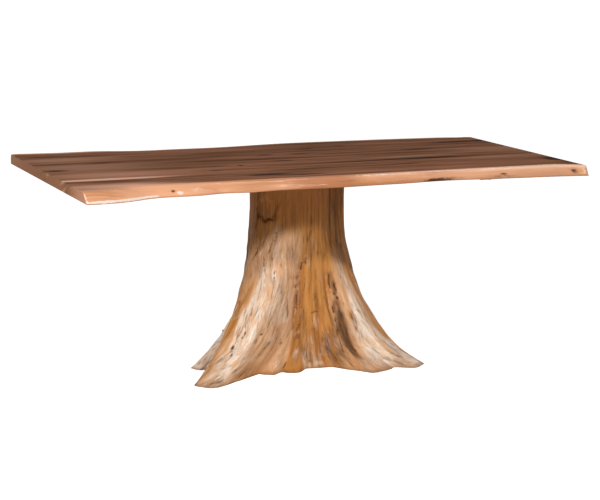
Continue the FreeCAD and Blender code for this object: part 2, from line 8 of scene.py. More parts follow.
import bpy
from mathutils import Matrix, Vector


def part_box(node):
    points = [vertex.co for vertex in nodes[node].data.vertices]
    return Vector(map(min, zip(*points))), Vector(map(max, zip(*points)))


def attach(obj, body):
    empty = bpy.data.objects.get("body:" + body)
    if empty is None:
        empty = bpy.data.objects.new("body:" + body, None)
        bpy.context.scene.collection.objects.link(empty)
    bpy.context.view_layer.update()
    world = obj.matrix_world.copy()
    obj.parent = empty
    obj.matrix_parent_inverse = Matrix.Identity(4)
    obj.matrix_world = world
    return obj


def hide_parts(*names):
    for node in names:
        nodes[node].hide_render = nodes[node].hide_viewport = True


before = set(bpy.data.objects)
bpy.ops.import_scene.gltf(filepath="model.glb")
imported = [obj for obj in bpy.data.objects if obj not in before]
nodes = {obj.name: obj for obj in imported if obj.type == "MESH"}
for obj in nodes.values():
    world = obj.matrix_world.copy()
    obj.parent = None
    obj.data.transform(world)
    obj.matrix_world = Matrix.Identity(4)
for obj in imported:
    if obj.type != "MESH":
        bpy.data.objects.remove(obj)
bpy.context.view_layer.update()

import math

import bpy
import numpy as np

# %% [markdown]
# ## Camera
# The photograph was taken from the front and a little to the left, from just above the height of a seated
# person's head. Its lens is long, so the two ends of the top look almost equally large. The place, the turn
# and the lens come from a fit of the top's corners, and the picture is 600 by 500.

# %% Set up the camera
def placed(name, data):
    """A new object in the scene, at the origin."""
    item = bpy.data.objects.new(name, data)
    bpy.context.scene.collection.objects.link(item)
    return item


CAMERA_PLACE = (-2.6424, -6.9942, 1.7119)
CAMERA_TURN = 20.876
CAMERA_DOWN = 9.898
LENS, SENSOR = 116.0, 36.0

camera_data = bpy.data.cameras.new("camera")
camera_data.lens, camera_data.sensor_width = LENS, SENSOR
camera = placed("camera", camera_data)
camera.location = CAMERA_PLACE
camera.rotation_euler = (math.radians(90 - CAMERA_DOWN), 0, math.radians(-CAMERA_TURN))
bpy.context.scene.camera = camera
print("camera at", CAMERA_PLACE, "with a lens of", LENS, "mm")

# %% [markdown]
# ## A small language for finishes
# Shader nodes are sums, products and mixes of patterns. Writing them as Python expressions keeps a finish
# readable, so a small class wraps one output of a node and adds Math nodes for each sign. One method makes
# every other kind of node: first its settings, then what goes into its sockets.


# %% Wires and finishes
# The curve from a screen's values to linear ones: an offset, a scale and a power
SCREEN_CURVE = 0.055, 1.055, 2.4


def colour(red, green, blue):
    """The linear colour, with its alpha, of a colour as it is read off a screen from 0 to 1."""
    offset, scale, power = SCREEN_CURVE
    return (*((np.array((red, green, blue)) + offset) / scale) ** power, 1.0)


def grey(value):
    """A linear grey with its alpha."""
    return (value, value, value, 1.0)


def sign(operation, turned=False):
    """A method of a wire that adds one Math node. The wire goes in first, or last where it is turned."""

    def method(wire, *others):
        values = (*others, wire) if turned else (wire, *others)
        return wire.finish.add("Math", {"operation": operation}, dict(enumerate(values)))

    return method


class Wire:
    """One output of a shader node, which can be added, multiplied and compared like a number."""

    def __init__(self, finish, socket):
        self.finish, self.socket = finish, socket

    __add__ = __radd__ = sign("ADD")
    __mul__ = __rmul__ = sign("MULTIPLY")
    __sub__, __rsub__ = sign("SUBTRACT"), sign("SUBTRACT", turned=True)
    __pow__, larger = sign("POWER"), sign("MAXIMUM")
    size, sine = sign("ABSOLUTE"), sign("SINE")

    def step(self, low, high):
        """0 below low, 1 above high and a smooth rise between. It falls where high is below low."""
        if high < low:
            return 1 - self.step(high, low)
        inputs = {"Value": self, "From Min": low, "From Max": high}
        return self.finish.add("MapRange", {"interpolation_type": "SMOOTHSTEP"}, inputs)


class Finish:
    """A tree of shader nodes, for a new material or for a world. A finish ends in one Principled shader."""

    def __init__(self, name, world=None):
        self.material = world or bpy.data.materials.new(name)
        self.material.use_nodes = True
        self.tree = self.material.node_tree
        self.tree.nodes.clear()
        self.place = None if world else self.add("TexCoord", output="Object")

    def add(self, kind, settings=None, inputs=None, output=0):
        """A node of any kind: its settings are set first, and then the values or wires of its sockets."""
        item = self.tree.nodes.new("ShaderNode" + kind)
        for name, value in (settings or {}).items():
            setattr(item, name, value)
        for name, value in (inputs or {}).items():
            if isinstance(value, Wire):
                self.tree.links.new(value.socket, item.inputs[name])
            else:
                item.inputs[name].default_value = value
        return Wire(self, item.outputs[output]) if item.outputs else None

    def mix(self, share, first, second, blend="MIX"):
        """The first colour where the share is 0, and the second where it is 1."""
        return self.add("Mix", {"data_type": "RGBA", "blend_type": blend}, {0: share, 6: first, 7: second}, 2)

    def shades(self, share, first, second):
        """A mix of two colours that are given as they are read off a screen."""
        return self.mix(share, colour(*first), colour(*second))

    def coats(self, base, *coats):
        """Coats over a base: each is the share that it hides of what lies under it, and its screen colour."""
        for share, tint in coats:
            base = self.mix(share, base, colour(*tint))
        return base

    def noise(self, place, factors, shift=(0, 0, 0), detail=3.0, rough=0.55, twist=0.0):
        """Soft random values about 0.5. The factors are how many lumps it has in a metre each way."""
        spot = self.add("Mapping", None, {"Vector": place, "Scale": factors, "Location": shift})
        inputs = {"Vector": spot, "Scale": 1.0, "Detail": detail, "Roughness": rough, "Distortion": twist}
        return self.add("TexNoise", None, inputs)

    def axis(self, place, name):
        """One coordinate of a place: X, Y or Z."""
        return self.add("SeparateXYZ", None, {0: place}, name)

    def painted(self, name):
        """A number that a mesh carries at each of its points."""
        return self.add("Attribute", {"attribute_name": name}, output="Fac")

    def painted_place(self, name):
        """A place that a mesh carries at each of its points."""
        return self.add("Attribute", {"attribute_name": name}, output="Vector")

    def bump(self, height, depth, strength):
        return self.add("Bump", None, {"Height": height, "Distance": depth, "Strength": strength})

    def close(self, **sockets):
        """End in a Principled shader, whose sockets are given with _ for each space in their names."""
        inputs = {name.replace("_", " "): value for name, value in sockets.items()}
        shader = self.add("BsdfPrincipled", None, inputs)
        self.add("OutputMaterial", None, {"Surface": shader})
        return self.material


print("finishes are ready to be written")

# %% [markdown]
# ## Studio
# The photograph is a cut-out on pure white, but its shadows tell where the lamps were. The slab throws two
# steps of shadow on the trunk: a low lamp from the left ends the first one, and a higher lamp from the right
# ends the second. The floor and the sky are white to the camera only, so they add no light of their own.

# %% Lamps, sky and floor
AIM = np.array((0.0, -0.1, 0.45))
LAMPS = (
    # name, degrees to the right of the front, degrees up, distance, width, watts
    ("lamp_left", -52.0, 21.0, 4.5, 0.30, 90.0),
    ("lamp_right", 20.0, 43.0, 4.5, 0.26, 81.0),
)
SKY_LIGHT = 0.20
FLOOR_HALF = 60.0
FLOOR_TINT, FLOOR_GLOW, FLOOR_SHADE = 0.8, 0.95, 0.52


def aimed_lamp(name, turn, rise, distance, width, watts):
    """A square lamp that shines on the middle of the table."""
    turn, rise = math.radians(turn), math.radians(rise)
    toward = np.array((math.sin(turn) * math.cos(rise), -math.cos(turn) * math.cos(rise), math.sin(rise)))
    data = bpy.data.lights.new(name, "AREA")
    data.size, data.energy = width, watts
    lamp = placed(name, data)
    lamp.location = AIM + distance * toward
    lamp.rotation_euler = (math.pi / 2 - rise, 0, turn)


def white_sky():
    """The world gives a soft even light, and looks white to the camera and in reflections."""
    world = bpy.data.worlds.new("sky")
    sky = Finish("sky", world)
    camera_ray, glossy_ray, clear_ray = (
        sky.add("LightPath", output=f"Is {kind} Ray") for kind in ("Camera", "Glossy", "Transmission")
    )
    seen = camera_ray.larger(glossy_ray.larger(clear_ray))
    soft, white = (
        sky.add("Background", None, {"Color": grey(1), "Strength": strength}) for strength in (SKY_LIGHT, 1.0)
    )
    both = sky.add("MixShader", None, {0: seen, 1: soft, 2: white})
    sky.add("OutputWorld", None, {"Surface": both})
    bpy.context.scene.world = world


def floor_paint():
    """Matt pale paint. For the camera it glows just enough to be white where no shadow falls."""
    paint = Finish("floor_paint")
    seen = paint.add("LightPath", output="Is Camera Ray")
    plain = paint.add("BsdfDiffuse", None, {"Color": grey(FLOOR_TINT)})
    shaded = paint.add("BsdfDiffuse", None, {"Color": grey(FLOOR_SHADE)})
    glow = paint.add("Emission", None, {"Color": grey(1), "Strength": FLOOR_GLOW})
    white = paint.add("AddShader", None, {0: shaded, 1: glow})
    both = paint.add("MixShader", None, {0: seen, 1: plain, 2: white})
    paint.add("OutputMaterial", None, {"Surface": both})
    return paint.material


for lamp_values in LAMPS:
    aimed_lamp(*lamp_values)
white_sky()
bpy.context.scene.view_settings.view_transform = "Standard"

floor_mesh = bpy.data.meshes.new("floor")
floor_corners = [(x * FLOOR_HALF, y * FLOOR_HALF, 0) for x, y in ((-1, -1), (1, -1), (1, 1), (-1, 1))]
floor_mesh.from_pydata(floor_corners, [], [(0, 1, 2, 3)])
floor_mesh.materials.append(floor_paint())
placed("floor", floor_mesh)
print("lamps:", len(LAMPS), "and a sky of strength", SKY_LIGHT)

# %% [markdown]
# ## Meshes from arrays
# Both the planks and the stump are rings of points: rings along the plank, and rings up the stump. Numpy
# works out all points at once, and one function turns such a grid into a closed mesh with painted values.


# %% Rings into a piece
SHARP_ANGLE = math.radians(40)


def piece_from_rings(name, rings, material, painted, stands_for):
    """Join each ring to the next with four-sided faces, and close both ends with one face each.

    Rings are an array of rings, points and coordinates. The points of a ring run so that a face from one
    point to the next, and on to the next ring, looks outward.
    """
    count, around = rings.shape[:2]
    index = np.arange(count * around).reshape(count, around)
    here, after = index, np.roll(index, -1, axis=1)
    quads = np.stack((here[:-1], after[:-1], after[1:], here[1:]), axis=-1).reshape(-1, 4)
    mesh = bpy.data.meshes.new(name)
    caps = [index[0, ::-1].tolist(), index[-1].tolist()]
    mesh.from_pydata(rings.reshape(-1, 3).tolist(), [], quads.tolist() + caps)
    for title, values in painted.items():
        kind, part = ("FLOAT_VECTOR", "vector") if values.ndim == 3 else ("FLOAT", "value")
        layer = mesh.attributes.new(title, kind, "POINT")
        layer.data.foreach_set(part, values.astype(np.float32).ravel())
    mesh.shade_smooth()
    mesh.polygons[-2].use_smooth = mesh.polygons[-1].use_smooth = False
    mesh.set_sharp_from_angle(angle=SHARP_ANGLE)
    mesh.materials.append(material)
    piece = placed(name, mesh)
    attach(piece, "root")
    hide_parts(stands_for)
    print(f"{name}: {count} rings of {around} points, {2 * len(quads)} triangles")


def smooth(share):
    """An even rise from 0 to 1 that starts and ends level: three squares less two cubes."""
    share = np.clip(share, 0, 1)
    return share * share * (3 - 2 * share)


def soft(away):
    """The height of a soft hill at a distance in half widths: e to the minus the distance squared."""
    return np.exp(-(away**2))


def ripple(across, along, across_cells, along_cells, seed):
    """Soft random values from -1 to 1 on a grid of cells, with a smooth passage from each to the next.

    Both places are shares from 0 to 1, and the values close on themselves at the ends of the first one.
    """
    lattice = np.random.default_rng(seed).uniform(-1, 1, (across_cells, along_cells + 2))
    a, b = across * across_cells, np.clip(along, 0, 1) * along_cells
    i, j = np.floor(a).astype(int), np.floor(b).astype(int)
    s, t = smooth(a - i), smooth(b - j)
    i, after = i % across_cells, (i + 1) % across_cells
    low = lattice[i, j] * (1 - s) + lattice[after, j] * s
    high = lattice[i, j + 1] * (1 - s) + lattice[after, j + 1] * s
    return low * (1 - t) + high * t


def ripples(across, along, *layers):
    """The sum of layers of ripple: each is its height, its cells across and along, and its seed."""
    return sum(height * ripple(across, along, *cells_and_seed) for height, *cells_and_seed in layers)


print("rings, smooth and ripple are ready")

# %% [markdown]
# ## The stump's form
# A peeled stump is a trunk that melts into its roots. The formula is the one that the solid was cut from:
# a core that widens toward the floor, ten roots that each climb the trunk, two crevices and a flat panel
# between them. The solid has flat facets, and here the same formula runs on a much finer grid.

# %% Sizes of the stump
STUMP_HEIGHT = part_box("stump")[1].z
STUMP_MIDDLE_Y = -0.0105
TRUNK_RADIUS, FOOT_RADIUS, FOOT_CLIMB, TRUNK_LEAN = 0.157, 0.306, 0.600, 0.008
LONGEST_ROOT, ROOT_CLIMB, ROOT_HALF_WIDTH, ROOT_HALF_WIDTH_HIGH = 0.674, 0.560, 0.080, 0.110
CREVICE_DEPTH, CREVICE_HALF_WIDTH = 0.018, 0.014
PANEL_SETBACK, PANEL_HALF_WIDTH, PANEL_DIRECTION = 0.012, 0.064, -92

# Each root: direction in degrees, shares of the longest reach, the half width and the climb, and of toe
ROOTS = (
    (-141, 1.00, 0.87, 1.10, 0.23),
    (-163, 0.72, 0.60, 0.58, 0.07),
    (-125, 0.59, 0.47, 0.50, 0.50),
    (-114, 0.52, 0.57, 0.43, 0.50),
    (-65, 0.70, 1.00, 0.75, 0.33),
    (-47, 0.80, 0.90, 0.89, 0.28),
    (12, 0.63, 1.00, 0.82, 0.40),
    (58, 0.74, 1.00, 0.89, 0.40),
    (100, 0.76, 1.06, 0.93, 0.40),
    (132, 0.46, 0.94, 0.84, 0.40),
)
# Each crevice: direction at the floor and at its upper end, and the shares of height where it closes
CREVICES = ((-119, -103, 0.42, 0.62), (-74, -75, 0.40, 0.62))
PANEL_FADE = (0.40, 0.66)
PANEL_SOFT = (0.8, 1.1)
# Powers: how low a toe lies, how trunk and roots sweep up, how blunt a root is, how sharply all melt together
TOE_POWER, CORE_SWEEP, ROOT_SWEEP, BLUNTNESS, MELT = 8, 1.31, 1.35, 5.4, 9
# The core's share of toe, where roots start inside the trunk, and how soon a root widens as it climbs
CORE_TOE, ROOT_START, WIDENING = 0.3, 0.93, 0.8


def flare(share, toe, power):
    """From 1 at the floor to 0 at the top of a climb: a short low toe over a long sweep."""
    left = np.clip(1 - share, 0, 1)
    return toe * left**TOE_POWER + (1 - toe) * left**power


def fade(share, full, closed):
    """1 below full, 0 above closed and an even fall between."""
    return smooth((closed - share) / (closed - full))


def turn_from(angle, direction):
    """The smallest turn in radians from a direction in degrees."""
    return (angle - np.radians(direction) + math.pi) % (2 * math.pi) - math.pi


def core_radius(height):
    """The trunk without its roots: its own radius, widened by the flare toward the foot."""
    return TRUNK_RADIUS + (FOOT_RADIUS - TRUNK_RADIUS) * flare(height / FOOT_CLIMB, CORE_TOE, CORE_SWEEP)


def root_radius(angle, height, direction, reach, width, climb, toe):
    """How far a root reaches at an angle: a blunt oval about the root's own direction."""
    turn = turn_from(angle, direction)
    climbed = height / (climb * ROOT_CLIMB)
    inside = ROOT_START * TRUNK_RADIUS
    reach = inside + (reach * LONGEST_ROOT - inside) * flare(climbed, toe, ROOT_SWEEP)
    width = width * ROOT_HALF_WIDTH
    width = width + (ROOT_HALF_WIDTH_HIGH - width) * np.minimum(climbed, 1) ** WIDENING
    along, across = np.maximum(np.cos(turn), 0) / reach, np.abs(np.sin(turn)) / width
    return np.where(np.cos(turn) > 0, (along**BLUNTNESS + across**BLUNTNESS) ** (-1 / BLUNTNESS), 0)


def stump_radius(angle, height):
    """Trunk and roots melt together as the ninth root of the sum of their ninth powers."""
    share = height / STUMP_HEIGHT
    melted = core_radius(height) ** MELT + sum(root_radius(angle, height, *root) ** MELT for root in ROOTS)
    radius = melted ** (1 / MELT)
    for low_way, high_way, full, closed in CREVICES:
        way = low_way + (high_way - low_way) * np.minimum(share / closed, 1)
        offset = radius * turn_from(angle, way) / CREVICE_HALF_WIDTH
        radius = radius - CREVICE_DEPTH * soft(offset) * fade(share, full, closed)
    offset = np.abs(core_radius(height) * turn_from(angle, PANEL_DIRECTION)) / PANEL_HALF_WIDTH
    return radius - PANEL_SETBACK * fade(offset, *PANEL_SOFT) * fade(share, *PANEL_FADE)


print("stump height", round(STUMP_HEIGHT, 3), "reach", round(float(stump_radius(math.radians(-141), 0.0)), 3))

# %% [markdown]
# ## The grain's own grid
# Wood fibres run down the trunk and spread out into the roots. A grid whose columns stand at equal shares
# of each ring's length does the same: a column is a fibre. The columns so carry the grain, and the finish
# reads them as if the stump were still a straight log.

# %% Columns that follow the fibres
STUMP_COLUMNS, STUMP_ROWS, FINE_STEPS = 416, 236, 2880
ROW_CROWDING = 1.35  # a power over 1 crowds the rows toward the floor
share_round = np.arange(STUMP_COLUMNS) / STUMP_COLUMNS
heights = STUMP_HEIGHT * (np.arange(STUMP_ROWS) / (STUMP_ROWS - 1)) ** ROW_CROWDING

fine = math.radians(PANEL_DIRECTION) + np.linspace(0, 2 * math.pi, FINE_STEPS + 1)
fine_radius = stump_radius(fine[None, :], heights[:, None])
steps = np.hypot(np.diff(fine_radius * np.cos(fine)), np.diff(fine_radius * np.sin(fine)))
walked = np.concatenate((np.zeros((STUMP_ROWS, 1)), np.cumsum(steps, axis=1)), axis=1)
angles = np.array([np.interp(share_round * row[-1], row, fine) for row in walked])
levels = np.repeat(heights[:, None], STUMP_COLUMNS, axis=1)
rounds = np.repeat(share_round[None, :], STUMP_ROWS, axis=0)
ups = levels / STUMP_HEIGHT
print("a fibre spreads from", round(walked[-1, -1], 2), "m round the trunk to", round(walked[0, -1], 2), "m")

# %% [markdown]
# ## Marks on the stump
# What makes the stump of the photograph itself are its marks: pale satin patches where the last skin of
# sapwood is left, tan and darker tones, long drying cracks, small knots, a brown hollow beside the right
# root and an old scar high on the left. Each is a soft oval at a direction and a height, or a line between
# two of them. Those on the sides that the photograph doesn't show are made up in the same way.

# %% Marks, listed one by one
def from_mm(columns, *marks):
    """A table of marks, one in a row. The listed columns, counted from 0, go from millimetres to metres."""
    marks = np.array(marks, float)
    marks[:, columns] /= 1000
    return marks


# A band follows a fibre: direction and height at its lower and at its upper end, half width, strength
PALE_BANDS = from_mm(
    (1, 3, 4),
    (-140.5, 190, -137.2, 330, 17, 1), (-137, 20, -139.4, 150, 18, 0.85),
    (-134.5, 120, -131.5, 190, 12, 0.6), (-135, 90, -132.5, 270, 26, 0.5),
    (-141.5, 60, -142, 200, 18, 0.45), (-129, 360, -133.8, 500, 10, 0.36),
    (-127.5, 470, -128, 550, 18, 0.06), (-147, 420, -141, 520, 5, 0.4),
    (-124.5, 190, -122.5, 380, 40, 0.16), (-124.5, 170, -122.8, 310, 26, 0.3),
    (-124.8, 0, -123.8, 45, 7, 0.6), (-150, 20, -149, 200, 18, 0.3), (-163, 0, -166, 160, 50, 1.3),
    (-56, 220, -54, 370, 17, 0.8), (-58.8, 120, -58.5, 230, 15, 0.75), (-55, 140, -55.2, 230, 11, 0.55),
    (-62.5, 20, -61.5, 100, 26, 0.4), (-70.5, 20, -71, 60, 8, 0.5), (-57, 20, -57, 100, 20, 0.5),
    (-51, 0, -55, 60, 55, 0.32), (-46, 0, -48, 70, 30, 0.45), (-103.8, 0, -104.2, 40, 8, 0.65),
    (-96, 20, -97, 150, 6, 0.3), (-112, 0, -111, 100, 12, 0.3), (60, 20, 60, 300, 50, 0.6),
    (100, 0, 100, 260, 45, 0.6), (133, 0, 134, 200, 35, 0.5), (14, 0, 12, 240, 45, 0.6),
    (-20, 250, -22, 450, 20, 0.4), (85, 350, 88, 520, 20, 0.4),
)
TAN_BANDS = from_mm(
    (1, 3, 4),
    (-123, 130, -122, 400, 60, 1.05), (-130, 140, -131, 340, 40, 0.6), (-138, 0, -139, 360, 60, 0.6),
    (-58, 0, -58, 330, 50, 0.55), (-67, 0, -67, 100, 45, 0.6), (-50, 0, -53, 100, 90, 0.8),
    (-112, 0, -108, 140, 45, 0.1), (-111.5, 100, -111.5, 240, 20, -0.45), (-98, 0, -97, 90, 35, 0.45),
    (-163, 0, -166, 300, 50, 0.7), (-131.5, 20, -127, 150, 32, -0.35), (-113, 30, -110, 130, 30, -0.5),
    (-146, 180, -144, 300, 14, -0.6), (-45, 60, -38, 260, 35, -0.6), (-61.5, 110, -62.5, 180, 16, -1.2),
    (-92, 160, -90, 420, 60, -0.6), (60, 0, 60, 340, 80, 0.7), (100, 0, 100, 340, 80, 0.7),
    (14, 0, 12, 300, 70, 0.7), (150, 100, 150, 600, 60, 0.5),
)
DARK_BANDS = from_mm(
    (1, 3, 4),
    (-70.8, 60, -69.8, 130, 17, 1.02), (-70.2, 130, -69.2, 200, 12, 0.68), (-72.6, 90, -72, 130, 7, 0.4),
    (-61.5, 120, -62.5, 170, 12, 0.15), (-70, 240, -70.6, 310, 6, 0.5), (-71.2, 310, -71, 370, 8, 0.35),
    (-73.6, 160, -72, 230, 5, 0.45), (-80.3, 50, -81.5, 105, 20, 0.5), (-97.6, 20, -99.8, 175, 12, 0.45),
    (-103, 60, -103.5, 160, 6, 0.35), (-97, 0, -97, 30, 100, 0.17), (-112.5, 40, -112, 130, 12, 0.3),
    (-107, 0, -106, 60, 10, 0.35), (-92, 30, -93, 120, 6, 0.25), (-86, 20, -86.5, 80, 10, 0.25),
    (-102.5, 200, -103.3, 370, 4, 0.3), (-66, 440, -66, 710, 10, 0.45), (-54.5, 400, -54.5, 710, 28, 0.3),
    (-40, 380, -40, 710, 55, 0.4), (-165, 360, -168, 710, 30, 0.3), (-160.5, 540, -165, 640, 10, 0.32),
    (-155, 550, -157, 600, 5, 0.4), (-148, 550, -147, 570, 14, 0.35), (-136.5, 560, -134, 620, 12, 0.38),
    (-152, 420, -143.4, 510, 5, 0.4), (-156, 360, -151, 440, 6, 0.35), (-134.8, 215, -129.8, 315, 4, 0.5),
    (-117.9, 215, -118.6, 255, 3, 0.55), (-145, 0, -144, 30, 10, 0.6), (-141.8, 0, -142.3, 75, 6, 0.35),
    (-137.5, 0, -137.3, 35, 10, 0.4), (-159.5, 20, -159.5, 170, 10, 0.55),
    (-90, 230, -91.5, 315, 9, 0.35), (33, 0, 34, 340, 20, 0.5), (80, 40, 77, 400, 12, 0.4),
    (118, 0, 120, 380, 20, 0.55), (172, 20, 171, 400, 16, 0.45), (-20, 20, -24, 360, 14, 0.4),
)
# Broad soft painted shade and painted light: a strength over 0 is darker and one under 0 lighter
SHADE_BANDS = from_mm(
    (1, 3, 4),
    (-151, 350, -150, 430, 38, 0.2), (-138, 370, -137, 430, 20, 0.1), (-111.5, 80, -111.5, 200, 22, 0.16),
    (-121.5, 50, -122, 90, 24, 0.14), (-67, 100, -68, 170, 14, 0.24), (-79, 60, -78.5, 110, 12, 0.17),
    (-60, 60, -60.5, 120, 22, 0.13), (-86, 60, -86, 130, 17, -0.16), (-36, 290, -34, 380, 34, -0.22),
    (-143, 150, -144.5, 250, 16, -0.09),
)
# Hollows: direction, height, half turn in degrees, half height, depth
HOLLOWS = from_mm(
    (1, 3, 4),
    (-70.3, 115, 4.2, 55, 12), (-131.5, 60, 2.2, 60, 4), (-159.5, 90, 2.6, 80, 10),
    (33, 120, 5, 100, 20), (118, 140, 5, 110, 22),
)
# Knots: direction, height, half width, half height, depth, darkness
KNOTS = from_mm(
    (1, 2, 3, 4),
    (-137, 160, 2.8, 5.5, 3, 0.9), (-137.5, 147, 2.4, 4, 3, 0.8), (-140.2, 113, 5.2, 6.2, 5, 1),
    (-138.8, 92, 3.2, 4.6, 3, 0.9), (-136.4, 170, 1.8, 3.5, 2, 0.7), (-129.7, 149, 2.6, 3.5, 2, 0.7),
    (-128.4, 367, 2.4, 5, 2, 0.7), (-127.7, 348, 2.2, 4.5, 2, 0.8), (-137.6, 443, 2.6, 5, 2, 0.6),
    (-133.2, 416, 2.4, 5, 2, 0.6), (-134.2, 479, 2.4, 4.5, 2, 0.5), (-133.2, 508, 2.2, 4.5, 2, 0.5),
    (-143.5, 556, 14, 4, 3, 0.7), (-152, 550, 10, 3.4, 2, 0.4), (-69.8, 284, 2.6, 6, 3, 0.7),
    (-69.6, 254, 2.6, 5, 3, 0.9), (-70.8, 300, 2, 7, 2, 0.7), (-61, 330, 2.4, 6, 2, 0.5),
    (-91.3, 205, 10, 3, 1, 0.45), (-93.6, 200, 5, 2.8, 1, 0.45), (-99.6, 392, 2.4, 5, 2, 0.7),
    (-20, 300, 12, 16, 8, 1), (40, 420, 10, 14, 7, 1), (88, 270, 14, 20, 10, 1), (150, 360, 10, 16, 7, 1),
)
# Cracks: direction and height at the lower end, at the upper end, and strength
CRACKS = from_mm(
    (1, 3),
    (-118.7, 0, -116.7, 37, 0.8), (-116.8, 33, -111, 119, 0.6), (-111, 112, -107.3, 157, 0.8),
    (-107.3, 150, -107.2, 194, 0.9), (-107.2, 188, -111.3, 228, 1), (-111.3, 222, -109.7, 294, 0.8),
    (-109.7, 288, -106.9, 348, 0.9), (-106.9, 342, -102.6, 402, 1), (-101.6, 366, -95, 445, 0.5),
    (-94.7, 430, -93.9, 600, 0.5), (-75.6, 9, -76.8, 64, 0.5), (-76.8, 60, -75.4, 117, 0.7),
    (-75.4, 112, -73.8, 162, 0.9), (-73.8, 157, -72.8, 232, 1), (-72.8, 228, -71.7, 282, 0.7),
    (-71.7, 278, -74.4, 355, 0.9), (-75.7, 380, -75, 530, 0.5), (-131.1, 550, -130, 690, 0.4),
    (-79.1, 127, -77, 186, 0.4), (-84.5, 180, -84, 300, 0.3), (-130.9, 56, -127.5, 124, 0.6),
    (-125.8, 83, -123.5, 175, 0.5), (-134.5, 5, -131, 56, 0.5), (-101, 0, -99, 90, 0.6),
    (-88, 10, -89, 100, 0.5), (-84, 0, -85, 60, 0.4), (-151.6, 415, -143.4, 512, 0.6),
    (-151.6, 438, -149.1, 500, 0.6), (-138.3, 424, -135.5, 512, 0.5), (-132.8, 400, -134, 520, 0.5),
    (-145.5, 120, -147, 300, 0.4), (-154, 20, -156, 160, 0.6), (-60, 150, -62.5, 260, 0.3),
    (-52, 30, -56, 140, 0.4), (-47, 60, -50, 200, 0.4), (-160, 0, -158, 200, 1), (-30, 50, -34, 420, 0.7),
    (5, 100, 0, 500, 0.7), (35, 0, 33, 380, 1), (80, 50, 76, 550, 0.8), (118, 0, 120, 400, 1),
    (170, 80, 172, 520, 0.7),
)
# A band's torn ends: their raggedness as layers of ripple, and the least distance over which they fade
TORN_ENDS = (0.020, 90, 8, 51), (0.012, 200, 14, 52)
END_FADE = 0.012
# How far a crack wanders, how far its shade reaches, and the distance that stands for no crack
CRACK_WANDER, CRACK_REACH, NO_CRACK = 0.006, 0.014, 0.1
# Its ends fade over one part in so many of its length. It is mostly unbroken, but comes and goes
LOWER_END, UPPER_END = 6, 4
UNBROKEN, BREAK_SWING = 0.8, 0.9
# The wander and the breaks along a crack: cells of ripple, and the seed of the first crack
WANDER_RIPPLE, BREAK_RIPPLE = (12, 300), (34, 400)
# The scar: direction, height, half width and half height of its oval
SCAR = (-152, 0.590, 0.046, 0.046)
# In shares of the oval: how uneven it is, the half width of its rim, and where its dent starts and ends
SCAR_UNEVEN, SCAR_RIM_WIDTH, SCAR_FADE = (0.25, 60, 30, 41), 0.22, (0.8, 1.1)


def lean(here, low_way, low, high_way, high):
    """The share climbed from low to high, and the direction there of a line that leans between the two."""
    climbed = (here - low) / (high - low)
    return climbed, low_way + (high_way - low_way) * np.clip(climbed, 0, 1)


def band_sum(bands):
    """The sum of soft bands: each is its strength times a soft hill across it and past its ends, which fade
    over two half widths. The ends are ragged, because each fibre tears at a height of its own."""
    total = np.zeros_like(levels)
    ragged = levels + ripples(rounds, ups, *TORN_ENDS)
    for *line, half_width, strength in bands:
        climbed, way = lean(ragged, *line)
        length = line[3] - line[1]
        beyond = np.maximum(np.abs(climbed - 0.5) - 0.5, 0) * length / (END_FADE + 2 * half_width)
        total += strength * soft(arc_from(way) / half_width) * soft(beyond)
    return total


def arc_from(direction):
    """The distance round the stump from a direction, in metres."""
    return stump_flat_radius * turn_from(angles, direction)


def crack_lines():
    """The distance to the nearest crack, with a sign for its side, and how strong the crack is there.

    A crack wanders about a line that leans from its lower to its upper end. Its strength fades at both
    ends and away from the line, and comes and goes along it.
    """
    nearest, strength = np.full_like(levels, NO_CRACK), np.zeros_like(levels)
    for index, (*line, power) in enumerate(CRACKS):
        climbed, way = lean(levels, *line)
        wander, breaks = (
            ripple(rounds, ups, 1, cells, seed + index) for cells, seed in (WANDER_RIPPLE, BREAK_RIPPLE)
        )
        offset = arc_from(way) + CRACK_WANDER * wander
        lower_end = smooth(climbed * LOWER_END) if line[1] > 0 else climbed >= 0
        ends = smooth((1 - climbed) * UPPER_END) * lower_end
        broken = smooth(UNBROKEN + BREAK_SWING * breaks)
        here = power * ends * broken * soft(offset / CRACK_REACH)
        nearest = np.where(here > strength, offset, nearest)
        strength = np.maximum(strength, here)
    return nearest, strength


stump_flat_radius = stump_radius(angles, levels)
crack_offset, crack_share = crack_lines()

hollow_depth = np.zeros_like(levels)
for direction, level, half_turn, half_height, deep in HOLLOWS:
    away = np.hypot(turn_from(angles, direction) / math.radians(half_turn), (levels - level) / half_height)
    hollow_depth += deep * soft(away)

# A knot's dent is a little wider than its dark spot. Each point knows its place in the nearest knot's oval
DENT_RIM, KNOT_REACH, FAR_AWAY = 0.005, 0.030, 9.0
knot_depth, knot_near = np.zeros_like(levels), np.zeros_like(levels)
knot_place = np.full((*levels.shape, 3), FAR_AWAY)
for direction, level, half_width, half_height, deep, darkness in KNOTS:
    arc, rise = arc_from(direction), levels - level
    knot_depth += deep * soft(arc / (half_width + DENT_RIM)) * soft(rise / (half_height + DENT_RIM))
    near = darkness * soft(arc / KNOT_REACH) * soft(rise / KNOT_REACH)
    here = np.stack((arc / half_width, rise / half_height, near), axis=-1)
    knot_place = np.where((near > knot_near)[..., None], here, knot_place)
    knot_near = np.maximum(knot_near, near)

scar_way, scar_level, scar_width, scar_height = SCAR
scar_away = np.hypot(arc_from(scar_way) / scar_width, (levels - scar_level) / scar_height)
scar_away += ripples(rounds, ups, SCAR_UNEVEN)
scar_rim, scar_inside = soft((scar_away - 1) / SCAR_RIM_WIDTH), fade(scar_away, *SCAR_FADE)
print("pale bands:", len(PALE_BANDS), "dark bands:", len(DARK_BANDS), "knots:", len(KNOTS))

